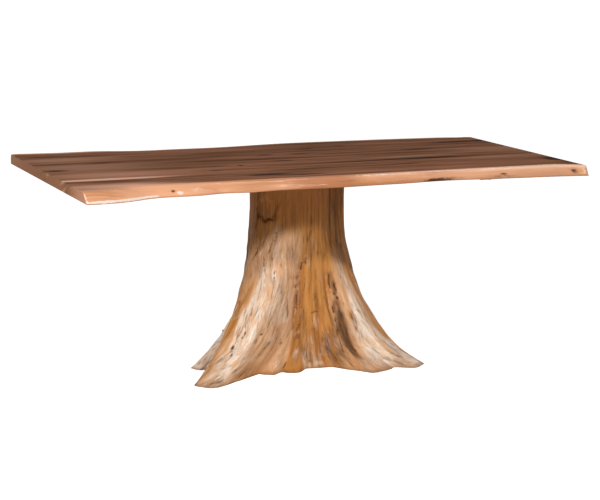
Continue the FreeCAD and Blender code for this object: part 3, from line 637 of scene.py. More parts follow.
# %% [markdown]
# ## The stump's surface
# Peeling leaves long shallow flutes, deeper toward the roots, and torn layers one or two millimetres thick.
# Both are random, but they follow the fibres, so they are worked out on the columns and rows of the grid
# and push the surface in or out along its own normal.

# %% Flutes, torn skin and the finished mesh
FLUTES, RIDGES, FIBRES = (0.0028, 34, 5, 11), (0.0022, 82, 9, 12), (0.0014, 138, 22, 13)
SKIN_THICKNESS, CRACK_DEPTH, SCAR_RIM_HEIGHT, SCAR_DEPTH = 0.0006, 0.004, 0.0015, 0.003
# What is left of flutes and fibres at the top, and how pale and how tan the wood is where no band lies
FLUTES_LEFT, FIBRES_LEFT, PALE_LEAST, TAN_LEAST = 0.25, 0.4, 0.04, 0.15
PALE_PATCHES = (0.16, 40, 9, 21), (0.12, 110, 22, 22)
TAN_PATCHES = (0.25, 26, 6, 23)
# Shares of the height where flutes, pale skin and tan wood start to fade, and where they are gone
FLUTES_FADE, PALE_FADE, TAN_FADE = (0.30, 0.85), (0.62, 0.80), (0.66, 0.80)
# Skin lies from a pale share on, and is whole a little over it. The scar's rim is dark in its lower half
SKIN_START, SKIN_RISE = 0.35, 0.2
RIM_DARK, RIM_FADE, SCAR_DARK = 0.30, 0.03, 0.10
# The surface comes back to the formula under the plate, over one part of its height in this many
TOP_EASE = 60

low_share = FLUTES_LEFT + (1 - FLUTES_LEFT) * fade(ups, *FLUTES_FADE)
flutes = ripples(rounds, ups, FLUTES, RIDGES) * low_share
flutes += ripples(rounds, ups, FIBRES) * (FIBRES_LEFT + (1 - FIBRES_LEFT) * low_share)

pale_share = PALE_LEAST + band_sum(PALE_BANDS) + ripples(rounds, ups, *PALE_PATCHES)
pale_share = np.clip(pale_share * fade(ups, *PALE_FADE), 0, 1)
tan_share = TAN_LEAST + band_sum(TAN_BANDS) + ripples(rounds, ups, TAN_PATCHES)
tan_share = np.clip(tan_share, 0, 1) * fade(ups, *TAN_FADE)
skin = smooth((pale_share - SKIN_START) / SKIN_RISE)

scar_dark = RIM_DARK * scar_rim * smooth((scar_level - levels) / RIM_FADE) + SCAR_DARK * scar_inside
dark_share = np.clip(band_sum(DARK_BANDS) + scar_dark, 0, 1)
shade_share = band_sum(SHADE_BANDS)
push = flutes + SKIN_THICKNESS * skin - CRACK_DEPTH * crack_share - hollow_depth - knot_depth
push += SCAR_RIM_HEIGHT * scar_rim - SCAR_DEPTH * scar_inside

base = np.stack(
    (
        stump_flat_radius * np.cos(angles) + TRUNK_LEAN * ups,
        stump_flat_radius * np.sin(angles) + STUMP_MIDDLE_Y,
        levels,
    ),
    axis=-1,
)
sideways = np.roll(base, -1, axis=1) - np.roll(base, 1, axis=1)
upward = np.gradient(base, axis=0)
normals = np.cross(sideways, upward)
normals /= np.linalg.norm(normals, axis=-1, keepdims=True)
stump_points = base + normals * (push * smooth((1 - ups) * TOP_EASE))[..., None]
stump_points[..., 2] = np.clip(stump_points[..., 2], 0, STUMP_HEIGHT)
stump_points[0, :, 2], stump_points[-1, :, 2] = 0, STUMP_HEIGHT

log_turn = 2 * math.pi * rounds
log_place = TRUNK_RADIUS * np.stack((np.cos(log_turn), np.sin(log_turn), np.zeros_like(levels)), axis=-1)
log_place[..., 2] = np.cumsum(np.linalg.norm(upward, axis=-1), axis=0)
print("push from", round(float(push.min()), 4), "to", round(float(push.max()), 4), "m")

# %% [markdown]
# ## The stump's finish
# The wood is honey to amber, clear-coated. The last skin of sapwood over it is creamy and glossier, with
# painted glints and painted shade in its tears. Fine dark lines follow the fibres, hollows are brown, and
# cracks carry painted shade. The patterns read the log's own place, so they bend into the roots as the real
# grain does. High up, under the top, the wood is calm, and its amber is painted darker for the shade there.


# %% Peeled wood with a clear coat
def stump_finish():
    wood = Finish("peeled_stump")
    log = wood.painted_place("log_place")
    broad = wood.noise(log, (14, 14, 1.6), detail=2.0)
    mottle = wood.noise(log, (75, 75, 9.0), shift=(3, 1, 0), rough=0.65, twist=0.4)
    streak = wood.noise(log, (120, 120, 5.0), shift=(6, 2, 0), rough=0.6)
    fine_line = wood.noise(log, (300, 300, 12.0), shift=(1, 7, 2), detail=2.0, rough=0.6)
    fleck = wood.noise(log, (110, 110, 16.0), shift=(5, 2, 4), rough=0.65, twist=0.4)
    cloud = wood.noise(log, (24, 24, 5), shift=(2, 0, 1))
    shine = wood.noise(log, (150, 150, 26), shift=(8, 3, 2), rough=0.65, twist=0.8)
    patch = wood.noise(log, (34, 34, 13), shift=(4, 6, 1), rough=0.6, twist=0.5)
    up = wood.axis(wood.place, "Z")
    # High up, under the top, the wood is calm: fewer marks, and an amber painted darker for the shade there
    calm_and_shade = up.step(0.50, 0.64)
    uneven = (mottle - 0.5) * 1.1 + (streak - 0.5) * 0.6
    threads = fleck * 0.5 + fine_line * 0.5

    # Amber wood, tan wood where the skin came off late, and the creamy skin
    amber = wood.shades(streak.step(0.34, 0.66), (0.81, 0.56, 0.30), (0.68, 0.44, 0.21))
    # Painted shade: the amber high up, under the top, is darker and more saturated
    amber = wood.coats(amber, (calm_and_shade * 0.5, (0.72, 0.44, 0.23)))
    tan = wood.shades(mottle.step(0.36, 0.64), (0.94, 0.74, 0.56), (0.82, 0.61, 0.43))
    cream = wood.shades(mottle.step(0.42, 0.68), (1.0, 0.91, 0.82), (0.95, 0.79, 0.64))
    tan_mask = (wood.painted("tan") + uneven * 0.7 + (broad - 0.5) * 0.6).step(0.05, 0.75)
    pale = wood.painted("pale") * (0.60 + patch.step(0.36, 0.64) * 0.55)
    pale_mask = (pale + uneven * 1.2 + fine_line - 0.5).step(0.12, 0.78) * (1 - calm_and_shade)
    body = wood.mix(pale_mask, wood.mix(tan_mask, amber, tan), cream)

    # Clouds, lines, flecks, grime near the floor, and on the torn skin painted glints and painted shade
    grime = up.step(0.08, 0.0) * cloud.step(0.42, 0.56) * fleck.step(0.38, 0.56)
    # Painted highlights: white glints along the fibres, mostly on the skin
    painted_glint = shine.step(0.56, 0.66) * (pale_mask * 0.9 + tan_mask * 0.25) * (1 - calm_and_shade)
    body = wood.coats(
        body,
        (cloud.step(0.50, 0.68) * fleck.step(0.44, 0.60) * 0.35, (0.62, 0.45, 0.31)),
        (streak.step(0.55, 0.70) * (0.42 - tan_mask * 0.18 - calm_and_shade * 0.24), (0.52, 0.33, 0.17)),
        (fleck.step(0.60, 0.70) * (0.55 - calm_and_shade * 0.35), (0.42, 0.27, 0.15)),
        (grime * 0.30, (0.50, 0.38, 0.31)),
        (painted_glint * 0.65, (1.0, 0.96, 0.90)),
        # Painted shade in the tears of the skin, in threads along the fibres
        (threads.step(0.50, 0.60) * pale_mask * 0.60, (0.66, 0.49, 0.38)),
    )
    body = wood.mix(1.0 - calm_and_shade * 0.8, body, 0.80 + mottle * 0.40, "MULTIPLY")
    # Painted shade and painted light: broad soft areas from the shade bands
    body = wood.mix(1.0, body, 1.0 - wood.painted("shade"), "MULTIPLY")

    # Brown hollows, then painted shade along each crack with a halo of it beside them, the last centimetre
    # over the floor darker, and the knots
    torn = uneven * 0.75 + (fleck - 0.5) * 0.5 + (fine_line - 0.5) * 0.5
    dark = (wood.painted("dark") + torn).step(0.12, 0.95)
    brown = wood.shades(threads.step(0.42, 0.60), (0.47, 0.28, 0.13), (0.22, 0.12, 0.05))
    body = wood.mix(dark * 0.88, body, brown)
    crack = wood.painted("crack_share")
    offset = (wood.painted("crack_offset") + (fleck - 0.5) * 0.010).size()
    broken = (crack + (fine_line - 0.5) * 1.2 + (mottle - 0.5) + (shine - 0.5) * 1.2).step(0.35, 0.75)
    line = offset.step(0.0030, 0.0004) * broken * (0.35 + crack * 0.65)
    across, along, near = (wood.axis(wood.painted_place("knot_place"), axis) for axis in "XYZ")
    oval = ((across * across + along * along) ** 0.5 + (fleck - 0.5) * 1.6).step(1.6, 0.5)
    spot = oval * near
    body = wood.coats(
        body,
        # Painted shade: a brown halo beside each crack and a dark line along it
        (offset.step(0.0080, 0.0010) * crack * 0.40, (0.42, 0.26, 0.13)),
        (line * 0.75, (0.27, 0.16, 0.08)),
        (up.step(0.012, 0.0) * 0.5, (0.45, 0.31, 0.22)),
        (spot * 0.9, (0.22, 0.13, 0.07)),
    )

    grain = (fine_line * 0.3 + streak * 0.5) * (1 - calm_and_shade * 0.8) + mottle * 0.9
    relief = grain - fleck.step(0.62, 0.72) * 0.3 - line * 0.8 - spot + painted_glint * 0.5
    return wood.close(
        Base_Color=body,
        Roughness=0.40 - pale_mask * 0.10 + dark * 0.2 + (fleck - 0.5) * 0.2,
        Specular_IOR_Level=0.08,
        Coat_Weight=(0.05 + pale_mask * 0.14) * (1 - dark),
        Coat_Roughness=0.20,
        Normal=wood.bump(relief, 0.0030, 0.9),
    )


stump_painted = {"pale": pale_share, "tan": tan_share, "knot_place": knot_place, "dark": dark_share}
stump_painted |= {"shade": shade_share, "crack_offset": crack_offset, "crack_share": crack_share}
stump_painted["log_place"] = log_place
piece_from_rings("tree_stump", stump_points, stump_finish(), stump_painted, "stump")

# %% [markdown]
# ## The planks' live edges
# The outer planks end in the tree's own outline. Its line was chosen once, for the solids, so it is read
# from them here: how far the plank reaches at its underside and at its upper face, all along its length.
# Between the two the bark face leans in and swells a little, and it turns in where it meets a sawn end.


# %% Read the live edges off the solids
SAME_LEVEL = 1e-4


def node_points(name):
    """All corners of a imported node, as an array."""
    mesh = nodes[name].data
    points = np.zeros(len(mesh.vertices) * 3)
    mesh.vertices.foreach_get("co", points)
    return points.reshape(-1, 3)


def edge_line(name, level, outward, stations):
    """How far a plank reaches at one level, read off the solid at each station along it."""
    low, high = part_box(name)
    points = node_points(name)
    at_level = np.abs(points[:, 2] - level) < SAME_LEVEL
    on_edge = outward * points[:, 1] > outward * (low.y + high.y) / 2
    points = points[at_level & on_edge]
    along = np.round(points[:, 0], 4)
    places = np.unique(along)
    reach = np.array([(outward * points[along == place, 1]).max() for place in places])
    return outward * np.interp(stations, places, reach)


board_low, board_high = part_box("board_3")
UNDERSIDE, TOP = board_low.z, board_high.z
HALF_LENGTH = board_high.x
print("planks lie from", round(UNDERSIDE, 3), "to", round(TOP, 3), "half length", round(HALF_LENGTH, 3))

# %% [markdown]
# ## Plank meshes
# A plank is a row of sections along X. A section goes once round the plank: over the top, down the back
# side, along the underside and up the front side, with its arrises eased. At both ends the last sections
# draw in, which rounds the sawn ends as sandpaper does.

# %% Sections along a plank
ARRIS, GLUE_ARRIS, LIVE_ARRIS = 0.0022, 0.0002, 0.0035
FRONT_CORNER, BACK_CORNER = 0.006, 0.025
SIDE_LEAN, SIDE_TRIM = 0.6, 1.25
STATION_STEP, TOP_STEP = 0.008, 0.0055
SIDE_POINTS, ARC_POINTS, END_POINTS, CORNER_POINTS, LEAST_TOP_POINTS = 22, 5, 6, 8, 6
# The share of a side's height, from each arris, over which waves and dents die out
ARRIS_ZONE = 0.2


def bend(start, corner, end):
    """A curve from start to end that leaves and arrives along the lines to the corner."""
    t = np.linspace(0, 1, ARC_POINTS)[None, :, None]
    return (1 - t) ** 2 * start[:, None] + 2 * t * (1 - t) * corner[:, None] + t**2 * end[:, None]


def straight(start, end, count):
    """Points from start to end, both left out."""
    t = np.linspace(0, 1, count + 2)[None, 1:-1, None]
    return (1 - t) * start[:, None] + t * end[:, None]


def side_line(low, high, arris):
    """The bark face from the upper arris to the lower. It leans in by 0.6 of the share of the height and by
    0.4 of that share's square, so it swells a little."""
    trim = SIDE_TRIM * arris / (TOP - UNDERSIDE)
    share = np.linspace(1 - trim, trim, SIDE_POINTS)[None, :]
    pull = SIDE_LEAN * share + (1 - SIDE_LEAN) * share**2
    y = low[:, None] + (high - low)[:, None] * pull
    z = np.broadcast_to(UNDERSIDE + (TOP - UNDERSIDE) * share, y.shape)
    return np.stack((y, z), axis=-1)


def stations_along():
    """Places along X: close together where corners and ends are rounded, and even between."""
    inner, bow = HALF_LENGTH - ARRIS, np.linspace(0, math.pi / 2, END_POINTS + 1)[1:]
    corner_turn = np.linspace(0, math.asin(1 - ARRIS / BACK_CORNER), CORNER_POINTS)
    corner = HALF_LENGTH - BACK_CORNER * (1 - np.sin(corner_turn))
    even = np.linspace(-corner[0], corner[0], round(2 * corner[0] / STATION_STEP) + 1)[1:-1]
    middle = np.concatenate((-corner[::-1], even, corner))
    x = np.concatenate((np.full(END_POINTS, -inner), middle, np.full(END_POINTS, inner)))
    turn = np.concatenate((bow[::-1], np.zeros(len(middle)), bow))
    return x, turn


def rounded(line, outward, x, radius):
    """An edge line that turns in by a quarter circle at both ends of the plank."""
    over = np.clip((np.abs(x) - HALF_LENGTH + radius) / radius, 0, 1)
    return line - outward * radius * (1 - np.sqrt(1 - over**2))


def plank_sections(front, back, front_live, back_live):
    """Sections of a plank whose front and back are each a pair of lines, at the underside and on top.

    With them come two shares for each point of a section: on a bark face, and on a glued side.
    """
    (front_low, front_high), (back_low, back_high) = front, back
    front_arris, back_arris = (LIVE_ARRIS if is_live else GLUE_ARRIS for is_live in (front_live, back_live))

    def arc(before, corner, after, radius):
        toward = (before - corner) / np.linalg.norm(before - corner, axis=-1, keepdims=True)
        onward = (after - corner) / np.linalg.norm(after - corner, axis=-1, keepdims=True)
        return bend(corner + radius * toward, corner, corner + radius * onward)

    def at(y, z):
        return np.stack((y, np.full_like(y, z)), axis=-1)

    across = max(LEAST_TOP_POINTS, round(float(np.mean(back_high - front_high)) / TOP_STEP))
    top_front, top_back = at(front_high, TOP), at(back_high, TOP)
    low_front, low_back = at(front_low, UNDERSIDE), at(back_low, UNDERSIDE)
    back_side = side_line(back_low, back_high, back_arris)
    front_side = side_line(front_low, front_high, front_arris)[:, ::-1]
    arcs = (
        arc(top_front, top_back, back_side[:, 0], back_arris),
        arc(back_side[:, -1], low_back, low_front, back_arris),
        arc(low_back, low_front, front_side[:, 0], front_arris),
        arc(front_side[:, -1], top_front, top_back, front_arris),
    )
    runs = (
        (straight(arcs[3][:, -1], arcs[0][:, 0], across), 0, 0),
        (arcs[0], 0, 0),
        (back_side, back_live, not back_live),
        (arcs[1], 0, 0),
        (straight(arcs[1][:, -1], arcs[2][:, 0], across // 2), 0, 0),
        (arcs[2], 0, 0),
        (front_side, front_live, not front_live),
        (arcs[3], 0, 0),
    )
    points, live, glue = zip(*runs)
    counts = [run.shape[1] for run in points]
    return np.concatenate(points, axis=1), np.repeat(live, counts), np.repeat(glue, counts)


def away_from_arrises(sections):
    """1 on the middle of a plank's side. It falls to 0 at both arrises over the arris zone."""
    up = (sections[..., 1] - UNDERSIDE) / (TOP - UNDERSIDE)
    return smooth(up / ARRIS_ZONE) * smooth((1 - up) / ARRIS_ZONE)


def plank_rings(sections, glue, x, turn):
    """Sections placed along X, which draw in at both ends by the arris times one less cosine."""
    onward = np.roll(sections, -1, axis=1) - np.roll(sections, 1, axis=1)
    normal = np.stack((-onward[..., 1], onward[..., 0]), axis=-1)
    normal /= np.maximum(np.linalg.norm(normal, axis=-1, keepdims=True), 1e-9)
    draw = ARRIS * (1 - np.cos(turn))[:, None] * (1 - glue)
    inset = sections - normal * draw[..., None]
    inset[..., 1] = np.clip(inset[..., 1], UNDERSIDE, TOP)
    along = (x + np.sign(x) * ARRIS * np.sin(turn))[:, None] + 0 * sections[..., 0]
    return np.concatenate((along[..., None], inset), axis=-1)


print("stations:", len(stations_along()[0]), "along each plank")

# %% [markdown]
# ## Marks on the top
# The planks are stained walnut brown over streaky wood, so dark heart streaks show through, some as long as
# a plank. The ones that the photograph shows are listed, and random ones follow the grain between them. The
# left end of the second plank has a strip of light sapwood along its back joint.
# Broad light patches toward both ends of the top are a painted sheen.

# %% Heart streaks, a light strip and a painted sheen
# Each mark: x and y of its middle, half length, half width, and darkness, below 0 where it is light. The
# narrow light strip is sapwood, and the broad light patches toward both ends are a painted sheen
TOP_MARKS = from_mm(
    (0, 1, 2, 3),
    (-51, 197, 40, 14, 0.9), (-47, 2, 60, 14, 0.9), (-232, -358, 90, 26, 1), (-98, -395, 100, 20, 0.8),
    (95, 188, 60, 16, 0.8), (171, 326, 45, 16, 0.8), (-343, -64, 80, 13, 0.8), (-244, -74, 10, 14, 1.2),
    (-381, -183, 30, 14, 0.8), (-400, -300, 180, 20, 0.4), (-330, 90, 110, 14, 0.4),
    (-150, 80, 130, 14, 0.4), (440, -112, 150, 17, 1), (540, -116, 90, 22, 1.1),
    (240, -120, 200, 13, 0.5), (377, -245, 80, 15, 0.9), (608, 152, 70, 16, 0.9),
    (700, 170, 110, 13, 0.4), (860, 333, 120, 19, 1.1), (349, 395, 40, 16, 0.6), (975, 345, 30, 29, 1.2),
    (968, -310, 30, 45, 1.5), (975, -420, 20, 50, 0.6), (700, -280, 250, 20, 0.3),
    (-900, 445, 100, 14, 1), (-738, 406, 200, 15, 0.7), (-918, 205, 80, 14, 0.7), (-945, 16, 35, 16, 1),
    (-724, 188, 45, 14, 0.9), (-820, -340, 190, 24, 0.7), (-880, -440, 200, 50, -0.45),
    (-560, -365, 150, 30, 0.45), (450, -40, 200, 30, -0.25), (-830, -272, 200, 19, -2.2),
    (-850, 80, 260, 110, -0.28), (-800, -160, 240, 80, -0.28), (-850, 320, 240, 60, -0.34),
    (860, 80, 180, 80, -0.16), (820, -180, 220, 50, -0.16), (-250, 300, 300, 60, 0.24),
    (50, -200, 260, 50, 0.3), (20, 60, 300, 70, 0.14),
)
# Marks on the front bark face: x, share of the way up it, half length, half height share, darkness. Dark
# marks are knots, and light ones, below 0, are painted highlights on the arrises, at the corners and by a
# knot
EDGE_MARKS = from_mm(
    (0, 2),
    (941, 0.47, 7, 0.13, 1.2), (940, 0.45, 30, 0.45, 0.35), (378, 0.08, 38, 0.12, 1.6),
    (420, 0.22, 80, 0.18, 0.6), (657, 0.45, 14, 0.1, 0.8), (640, 0.22, 70, 0.16, 0.4),
    (250, 0.4, 60, 0.1, 0.3), (-650, 0.45, 9, 0.17, 1), (-628, 0.34, 16, 0.17, -1),
    (-560, 0.55, 35, 0.22, -0.5), (-930, 0.18, 55, 0.09, -2.4), (-820, 0.17, 45, 0.08, -2),
    (-750, 0.18, 40, 0.08, -1.4), (-988, 0.55, 5, 0.6, -0.75), (30, 0.55, 120, 0.1, 0.3),
    (160, 0.93, 160, 0.07, -0.6), (600, 0.95, 350, 0.05, -0.6), (976, 0.5, 7, 0.35, -0.8),
    (988, 0.6, 4, 0.5, 0.6),
)
# Marks on the left sawn end: y, half width, and lightness, below 0 where it is dark
END_MARKS = from_mm(
    (0, 1),
    (-276, 14, 1), (-330, 24, -0.4), (-52, 16, 0.8), (12, 18, -0.3), (-384, 10, -0.5), (560, 30, 0.6),
)


def marks_at(marks, first, second):
    """The sum of soft ovals: each is its strength times a soft hill in one direction and in the other."""
    total = np.zeros_like(first)
    for middle, level, half_first, half_second, strength in marks:
        total += strength * soft((first - middle) / half_first) * soft((second - level) / half_second)
    return total


print("marks on the top:", len(TOP_MARKS), "and on the bark face:", len(EDGE_MARKS))

# %% [markdown]
# ## The planks' finish
# One recipe serves all six planks, each with its own tone and its own place in the pattern. Year rings are
# circles about the tree's heart, so they show as long lines on the faces and as arcs on the sawn ends. The
# bark face and a rim of sapwood beside it keep their honey colour, with a clear coat and no stain.

# %% Stained planks with natural edges
PLANKS = (
    # node, tone, shift of the pattern, y and z of the tree's heart beside the plank
    ("board_1_front_live_edge", 1.02, 0.3, -0.30, 0.62),
    ("board_2", 0.88, 1.7, -0.27, 0.60),
    ("board_3", 1.0, 2.9, -0.10, 0.66),
    ("board_4", 0.94, 4.1, 0.09, 0.88),
    ("board_5", 0.92, 5.3, 0.24, 0.64),
    ("board_6_back_live_edge", 0.97, 6.1, 0.38, 0.60),
)


DARK_HEART, DEEP_BROWN = (0.17, 0.09, 0.07), (0.30, 0.175, 0.115)
RING_TURN = 1100  # radians of the rings' sine in a metre: one ring in 5.7 mm


def plank_finish(name, tone, shift, heart_y, heart_z):
    wood = Finish(name)
    place = wood.place
    x, y, z = (wood.axis(place, axis) for axis in "XYZ")
    broad = wood.noise(place, (0.9, 18, 18), shift=(shift, shift, 0), detail=2.0)
    streak = wood.noise(place, (2.6, 85, 85), shift=(shift, 0, 2), detail=4.0, rough=0.6)
    pore = wood.noise(place, (22, 620, 620), shift=(shift, 3, 0), detail=2.0)
    vein = wood.noise(place, (2.2, 32, 32), shift=(shift, 4, 1), rough=0.6, twist=0.3)
    haze = wood.noise(place, (1.4, 5, 5), shift=(shift, 1, 6), detail=2.0)
    wander = wood.noise(place, (1.3, 2.0, 2.0), shift=(shift, 5, 1), detail=2.0)
    blotch = wood.noise(place, (60, 110, 110), shift=(shift, 2, 3), rough=0.6, twist=0.5)
    aside = y - heart_y + (wander - 0.5) * 0.10
    above = z - heart_z + (wander - 0.5) * 0.06
    rings = ((aside * aside + above * above) ** 0.5 * RING_TURN + (streak - 0.5) * 5).sine()

    # Stained faces: light and middle brown, deep lines, light strips, painted sheen and dark heart
    mark = wood.painted("mark")
    brown = wood.shades((broad * 0.5 + vein * 0.5).step(0.40, 0.60), (0.64, 0.43, 0.32), (0.48, 0.31, 0.205))
    brown = wood.coats(
        brown,
        ((vein * 0.6 + streak * 0.4 + rings * 0.03).step(0.50, 0.68) * 0.55, DEEP_BROWN),
        (haze.step(0.45, 0.65) * 0.30, (0.44, 0.30, 0.17)),
        # Light where the mark is below 0: sapwood, thinner stain by the front edge, and a painted sheen at
        # both ends
        ((0 - mark) * (0.7 + streak * 0.6), (0.99, 0.76, 0.64)),
        ((mark + (vein - 0.5) * 0.6 + (streak - 0.5) * 0.5).step(0.10, 0.90) * 0.85, DARK_HEART),
    )
    brown = wood.mix(1.0, brown, grey(tone), "MULTIPLY")
    brown = wood.coats(brown, (pore.step(0.60, 0.75) * 0.35, DEEP_BROWN))

    # The bark face: honey, lighter at the left and far right, with a painted highlight along its upper arris,
    # a dark lower edge, knots, and white spots that are painted highlights
    left = x.step(-0.30, -0.72) - x.step(-0.78, -0.90) * 0.8
    middle = x.step(-0.26, -0.12) * x.step(0.13, 0.0)
    right, far_right = x.step(-0.30, 0.30), x.step(0.0, 0.6)
    # Knots, and painted highlights where the edge mark is below 0
    spot = wood.painted("edge_knots_and_highlights") * (0.55 + blotch.step(0.34, 0.66) * 0.65)
    honey = wood.coats(
        wood.shades(streak.step(0.40, 0.62), (0.87, 0.61, 0.44), (0.77, 0.51, 0.32)),
        (broad.step(0.45, 0.62) * 0.6, (0.90, 0.67, 0.52)),
        (vein.step(0.50, 0.66) * 0.45, (0.68, 0.44, 0.30)),
        (left * 0.58, (0.98, 0.72, 0.56)),
        (middle * 0.55, (0.66, 0.40, 0.25)),
        (z.step(0.748, 0.728) * right * 0.65, (0.64, 0.42, 0.27)),
        (far_right * 0.38, (0.94, 0.72, 0.57)),
        # Painted highlight along the upper arris at the far right
        (z.step(0.750, 0.759) * far_right * 0.75, (0.97, 0.79, 0.68)),
        (z.step(UNDERSIDE + 0.0055, UNDERSIDE + 0.0005) * 0.6, (0.52, 0.33, 0.24)),
        ((spot + (streak - 0.5) * 0.5).step(0.10, 0.80) * 0.9, (0.30, 0.14, 0.07)),
        # White spots: painted highlights
        ((0 - spot).step(0.20, 0.80) * 0.9, (0.98, 0.90, 0.84)),
    )

    # The sawn ends: year rings, lighter toward the front and the back
    end_mark = wood.painted("end_mark")
    end_grain = wood.coats(
        wood.shades(rings.step(-0.8, 0.9) * 0.4, (0.65, 0.46, 0.35), (0.54, 0.37, 0.28)),
        (y.step(-0.30, -0.55) * 0.8, (0.80, 0.58, 0.46)),
        (y.step(0.10, 0.50) * 0.5, (0.72, 0.51, 0.42)),
        (end_mark, (0.78, 0.61, 0.48)),
        (0 - end_mark, (0.36, 0.22, 0.16)),
    )
    bark = (wood.painted("bark") + (streak - 0.5) * 0.35).step(0.25, 0.80)
    sawn = x.size().step(HALF_LENGTH - 0.0012, HALF_LENGTH - 0.0004)
    return wood.close(
        Base_Color=wood.mix(sawn, wood.mix(bark, brown, honey), end_grain),
        Roughness=0.68 + (streak - 0.5) * 0.15 - bark * 0.3,
        Specular_IOR_Level=0.0,
        Coat_Weight=bark * (1 - sawn) * 0.13 + 0.03,
        Coat_Roughness=0.25,
        Normal=wood.bump(pore * 0.5 + streak * 0.5, 0.0004, 0.5),
    )


plank_materials = {name: plank_finish("finish_" + name, *values) for name, *values in PLANKS}
print("finishes for the planks:", len(plank_materials))

# %% [markdown]
# ## The planks
# Under the bark a tree has pale sapwood, so a rim beside the live edge stays honey, wider toward the left
# end. Sapwood dents and bulges where branches grew: the bark face has waves of three sizes, which only dent
# it, so that the plank stays inside its solid, and a dent at each of its knots.

# %% Make the six planks
# The rim's width, what the left end adds, and where that starts and over what distance it and the glow rise
SAPWOOD_BAND, SAPWOOD_LEFT = 0.042, 0.025
LEFT_START, SAPWOOD_RISE, GLOW_RISE = -0.45, 0.35, 0.40
# Waves of the bark face: depth, and cells across and along it. Each plank has ten seeds of its own
BARK_WAVES = (0.0035, 4, 22), (0.0016, 14, 50), (0.0007, 24, 150)
FIRST_SEED, SEEDS_EACH = 500, 10
KNOT_DENT = 0.003
# The stain is thinner beside the front edge: strength and width all along, and toward the left end
RIM_GLOW, LEFT_GLOW = (0.30, 0.024), (0.50, 0.080)
# The share of the height below which a point is on the stained underside
UNDERSIDE_SHARE = 0.02


def plank_edges(name, x):
    """The front and the back line of a plank, each at the underside and on top, and whether it is live."""
    low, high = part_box(name)
    sides = ("front", -1, low.y, FRONT_CORNER), ("back", 1, high.y, BACK_CORNER)
    edges = []
    for side, outward, place, radius in sides:
        lines = [np.full_like(x, place)] * 2
        is_live = name.endswith(side + "_live_edge")
        if is_live:
            lines = [edge_line(name, level, outward, x) for level in (UNDERSIDE, TOP)]
            lines = [rounded(line, outward, x, radius) for line in lines]
        edges.append((lines, is_live))
    return edges


def bark_dents(number, up, along):
    """How far the waves dent the bark face: each is a ripple from 0 to its depth."""
    face = np.clip(up, 0, 1) / 2
    first = FIRST_SEED + SEEDS_EACH * number
    return sum(
        depth * (ripple(face, along, *cells, seed) - 1) / 2
        for seed, (depth, *cells) in enumerate(BARK_WAVES, start=first)
    )


def leftward(x, distance):
    """0 as far as the left start, and from there an even rise to 1 over a distance to the left."""
    return smooth((LEFT_START - x) / distance)


def make_plank(number, name):
    """Sections, then waves on the bark face, then the marks that the finish reads."""
    x, turn = stations_along()
    (front, front_live), (back, back_live) = plank_edges(name, x)
    sections, live, glue = plank_sections(front, back, front_live, back_live)
    has_bark, outward = front_live or back_live, -1 if front_live else 1
    along = np.repeat(x[:, None] / (2 * HALF_LENGTH) + 0.5, sections.shape[1], axis=1)
    up = (sections[..., 1] - UNDERSIDE) / (TOP - UNDERSIDE)
    if has_bark:
        wave = bark_dents(number, up, along)
        if front_live:
            wave -= KNOT_DENT * np.maximum(marks_at(EDGE_MARKS, x[:, None] + 0 * along, up), 0)
        sections[..., 0] += outward * wave * (live[None, :] > 0) * away_from_arrises(sections)
    rings = plank_rings(sections, glue, x, turn)

    ring_x, ring_y = rings[..., 0], rings[..., 1]
    edge_high = front[1] if front_live else back[1]
    inland = (ring_y - edge_high[:, None]) * -outward
    sapwood = SAPWOOD_BAND + SAPWOOD_LEFT * leftward(ring_x, SAPWOOD_RISE)
    bark = np.where(live[None, :] > 0, 1.0, 1 - smooth(inland / sapwood)) if has_bark else 0 * up
    bark = np.where(up < UNDERSIDE_SHARE, 0.0, bark)
    mark = marks_at(TOP_MARKS, ring_x, ring_y)
    if front_live:
        mark -= RIM_GLOW[0] * soft(inland / RIM_GLOW[1])
        mark -= LEFT_GLOW[0] * soft(inland / LEFT_GLOW[1]) * leftward(ring_x, GLOW_RISE)
    # Knots and painted highlights on the front bark face
    bark_knots_and_highlights = marks_at(EDGE_MARKS, ring_x, up) if front_live else 0 * up
    end_mark = sum(strength * soft((ring_y - y) / wide) for y, wide, strength in END_MARKS)
    painted = {"mark": mark, "bark": bark, "edge_knots_and_highlights": bark_knots_and_highlights * bark, "end_mark": end_mark * (ring_x < 0)}
    painted = {title: values[:, ::-1] for title, values in painted.items()}
    piece_from_rings(f"plank_{number}", rings[:, ::-1], plank_materials[name], painted, name)


for plank_number, (plank_name, *_) in enumerate(PLANKS, start=1):
    make_plank(plank_number, plank_name)

# %% [markdown]
# ## Hidden hardware
# Battens, plate, screws, bolts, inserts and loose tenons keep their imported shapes, which are right as they
# are. Each gets a finish of its own: stained wood, bare wood, black powder coat, zinc plating or brass.


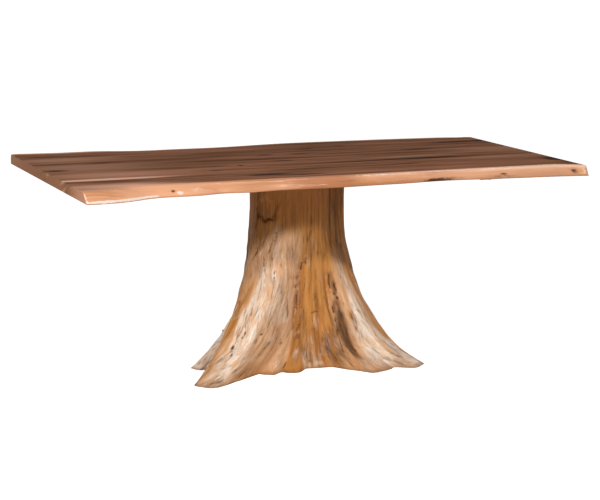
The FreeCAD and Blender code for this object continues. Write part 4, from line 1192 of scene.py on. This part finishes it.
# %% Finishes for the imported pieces
def plain_wood(name, light, dark, gloss):
    """Straight-grained wood: lines along Y for the battens and tenons, which lie across the planks."""
    wood = Finish(name)
    streak = wood.noise(wood.place, (110, 3, 110), detail=4.0, rough=0.6)
    pore = wood.noise(wood.place, (600, 24, 600), detail=2.0)
    return wood.close(
        Base_Color=wood.shades(streak.step(0.38, 0.66), light, dark),
        Roughness=gloss + (streak - 0.5) * 0.15,
        Normal=wood.bump(streak + pore * 0.5, 0.0004, 0.5),
    )


def plain_metal(name, tint, metallic, gloss, grain, depth):
    """Metal with a fine grain and a soft mottle: pebbled for powder coat, shallower for zinc and brass."""
    metal = Finish(name)
    speck = metal.noise(metal.place, (grain, grain, grain), detail=2.0)
    cloud = metal.noise(metal.place, (40, 40, 40), detail=2.0)
    shade = [0.8 * part for part in tint]
    return metal.close(
        Base_Color=metal.shades(cloud.step(0.35, 0.65), tint, shade),
        Metallic=metallic,
        Roughness=gloss + (speck - 0.5) * 0.2,
        Normal=metal.bump(speck, depth, 0.4),
    )


batten_wood = plain_wood("batten_stain", (0.42, 0.28, 0.20), (0.30, 0.19, 0.14), 0.5)
tenon_wood = plain_wood("tenon_bare", (0.80, 0.65, 0.46), (0.68, 0.52, 0.34), 0.6)
plate_steel = plain_metal("powder_coat", (0.13, 0.13, 0.13), 0.0, 0.5, 900, 0.0003)
zinc_steel = plain_metal("zinc_plating", (0.72, 0.73, 0.75), 1.0, 0.35, 700, 0.0001)
insert_brass = plain_metal("insert_brass", (0.80, 0.66, 0.36), 1.0, 0.3, 500, 0.0001)

PACKED_FINISHES = {
    "batten_left": batten_wood,
    "batten_right": batten_wood,
    "mounting_plate": plate_steel,
    "threaded_inserts": insert_brass,
}
for name in nodes:
    if name.startswith("loose_tenons"):
        PACKED_FINISHES[name] = tenon_wood
    elif "screws" in name or name.startswith("top_bolt"):
        PACKED_FINISHES[name] = zinc_steel
for name, material in PACKED_FINISHES.items():
    for material_slot in nodes[name].material_slots:
        material_slot.material = material
print("packed pieces with a finish:", len(PACKED_FINISHES))
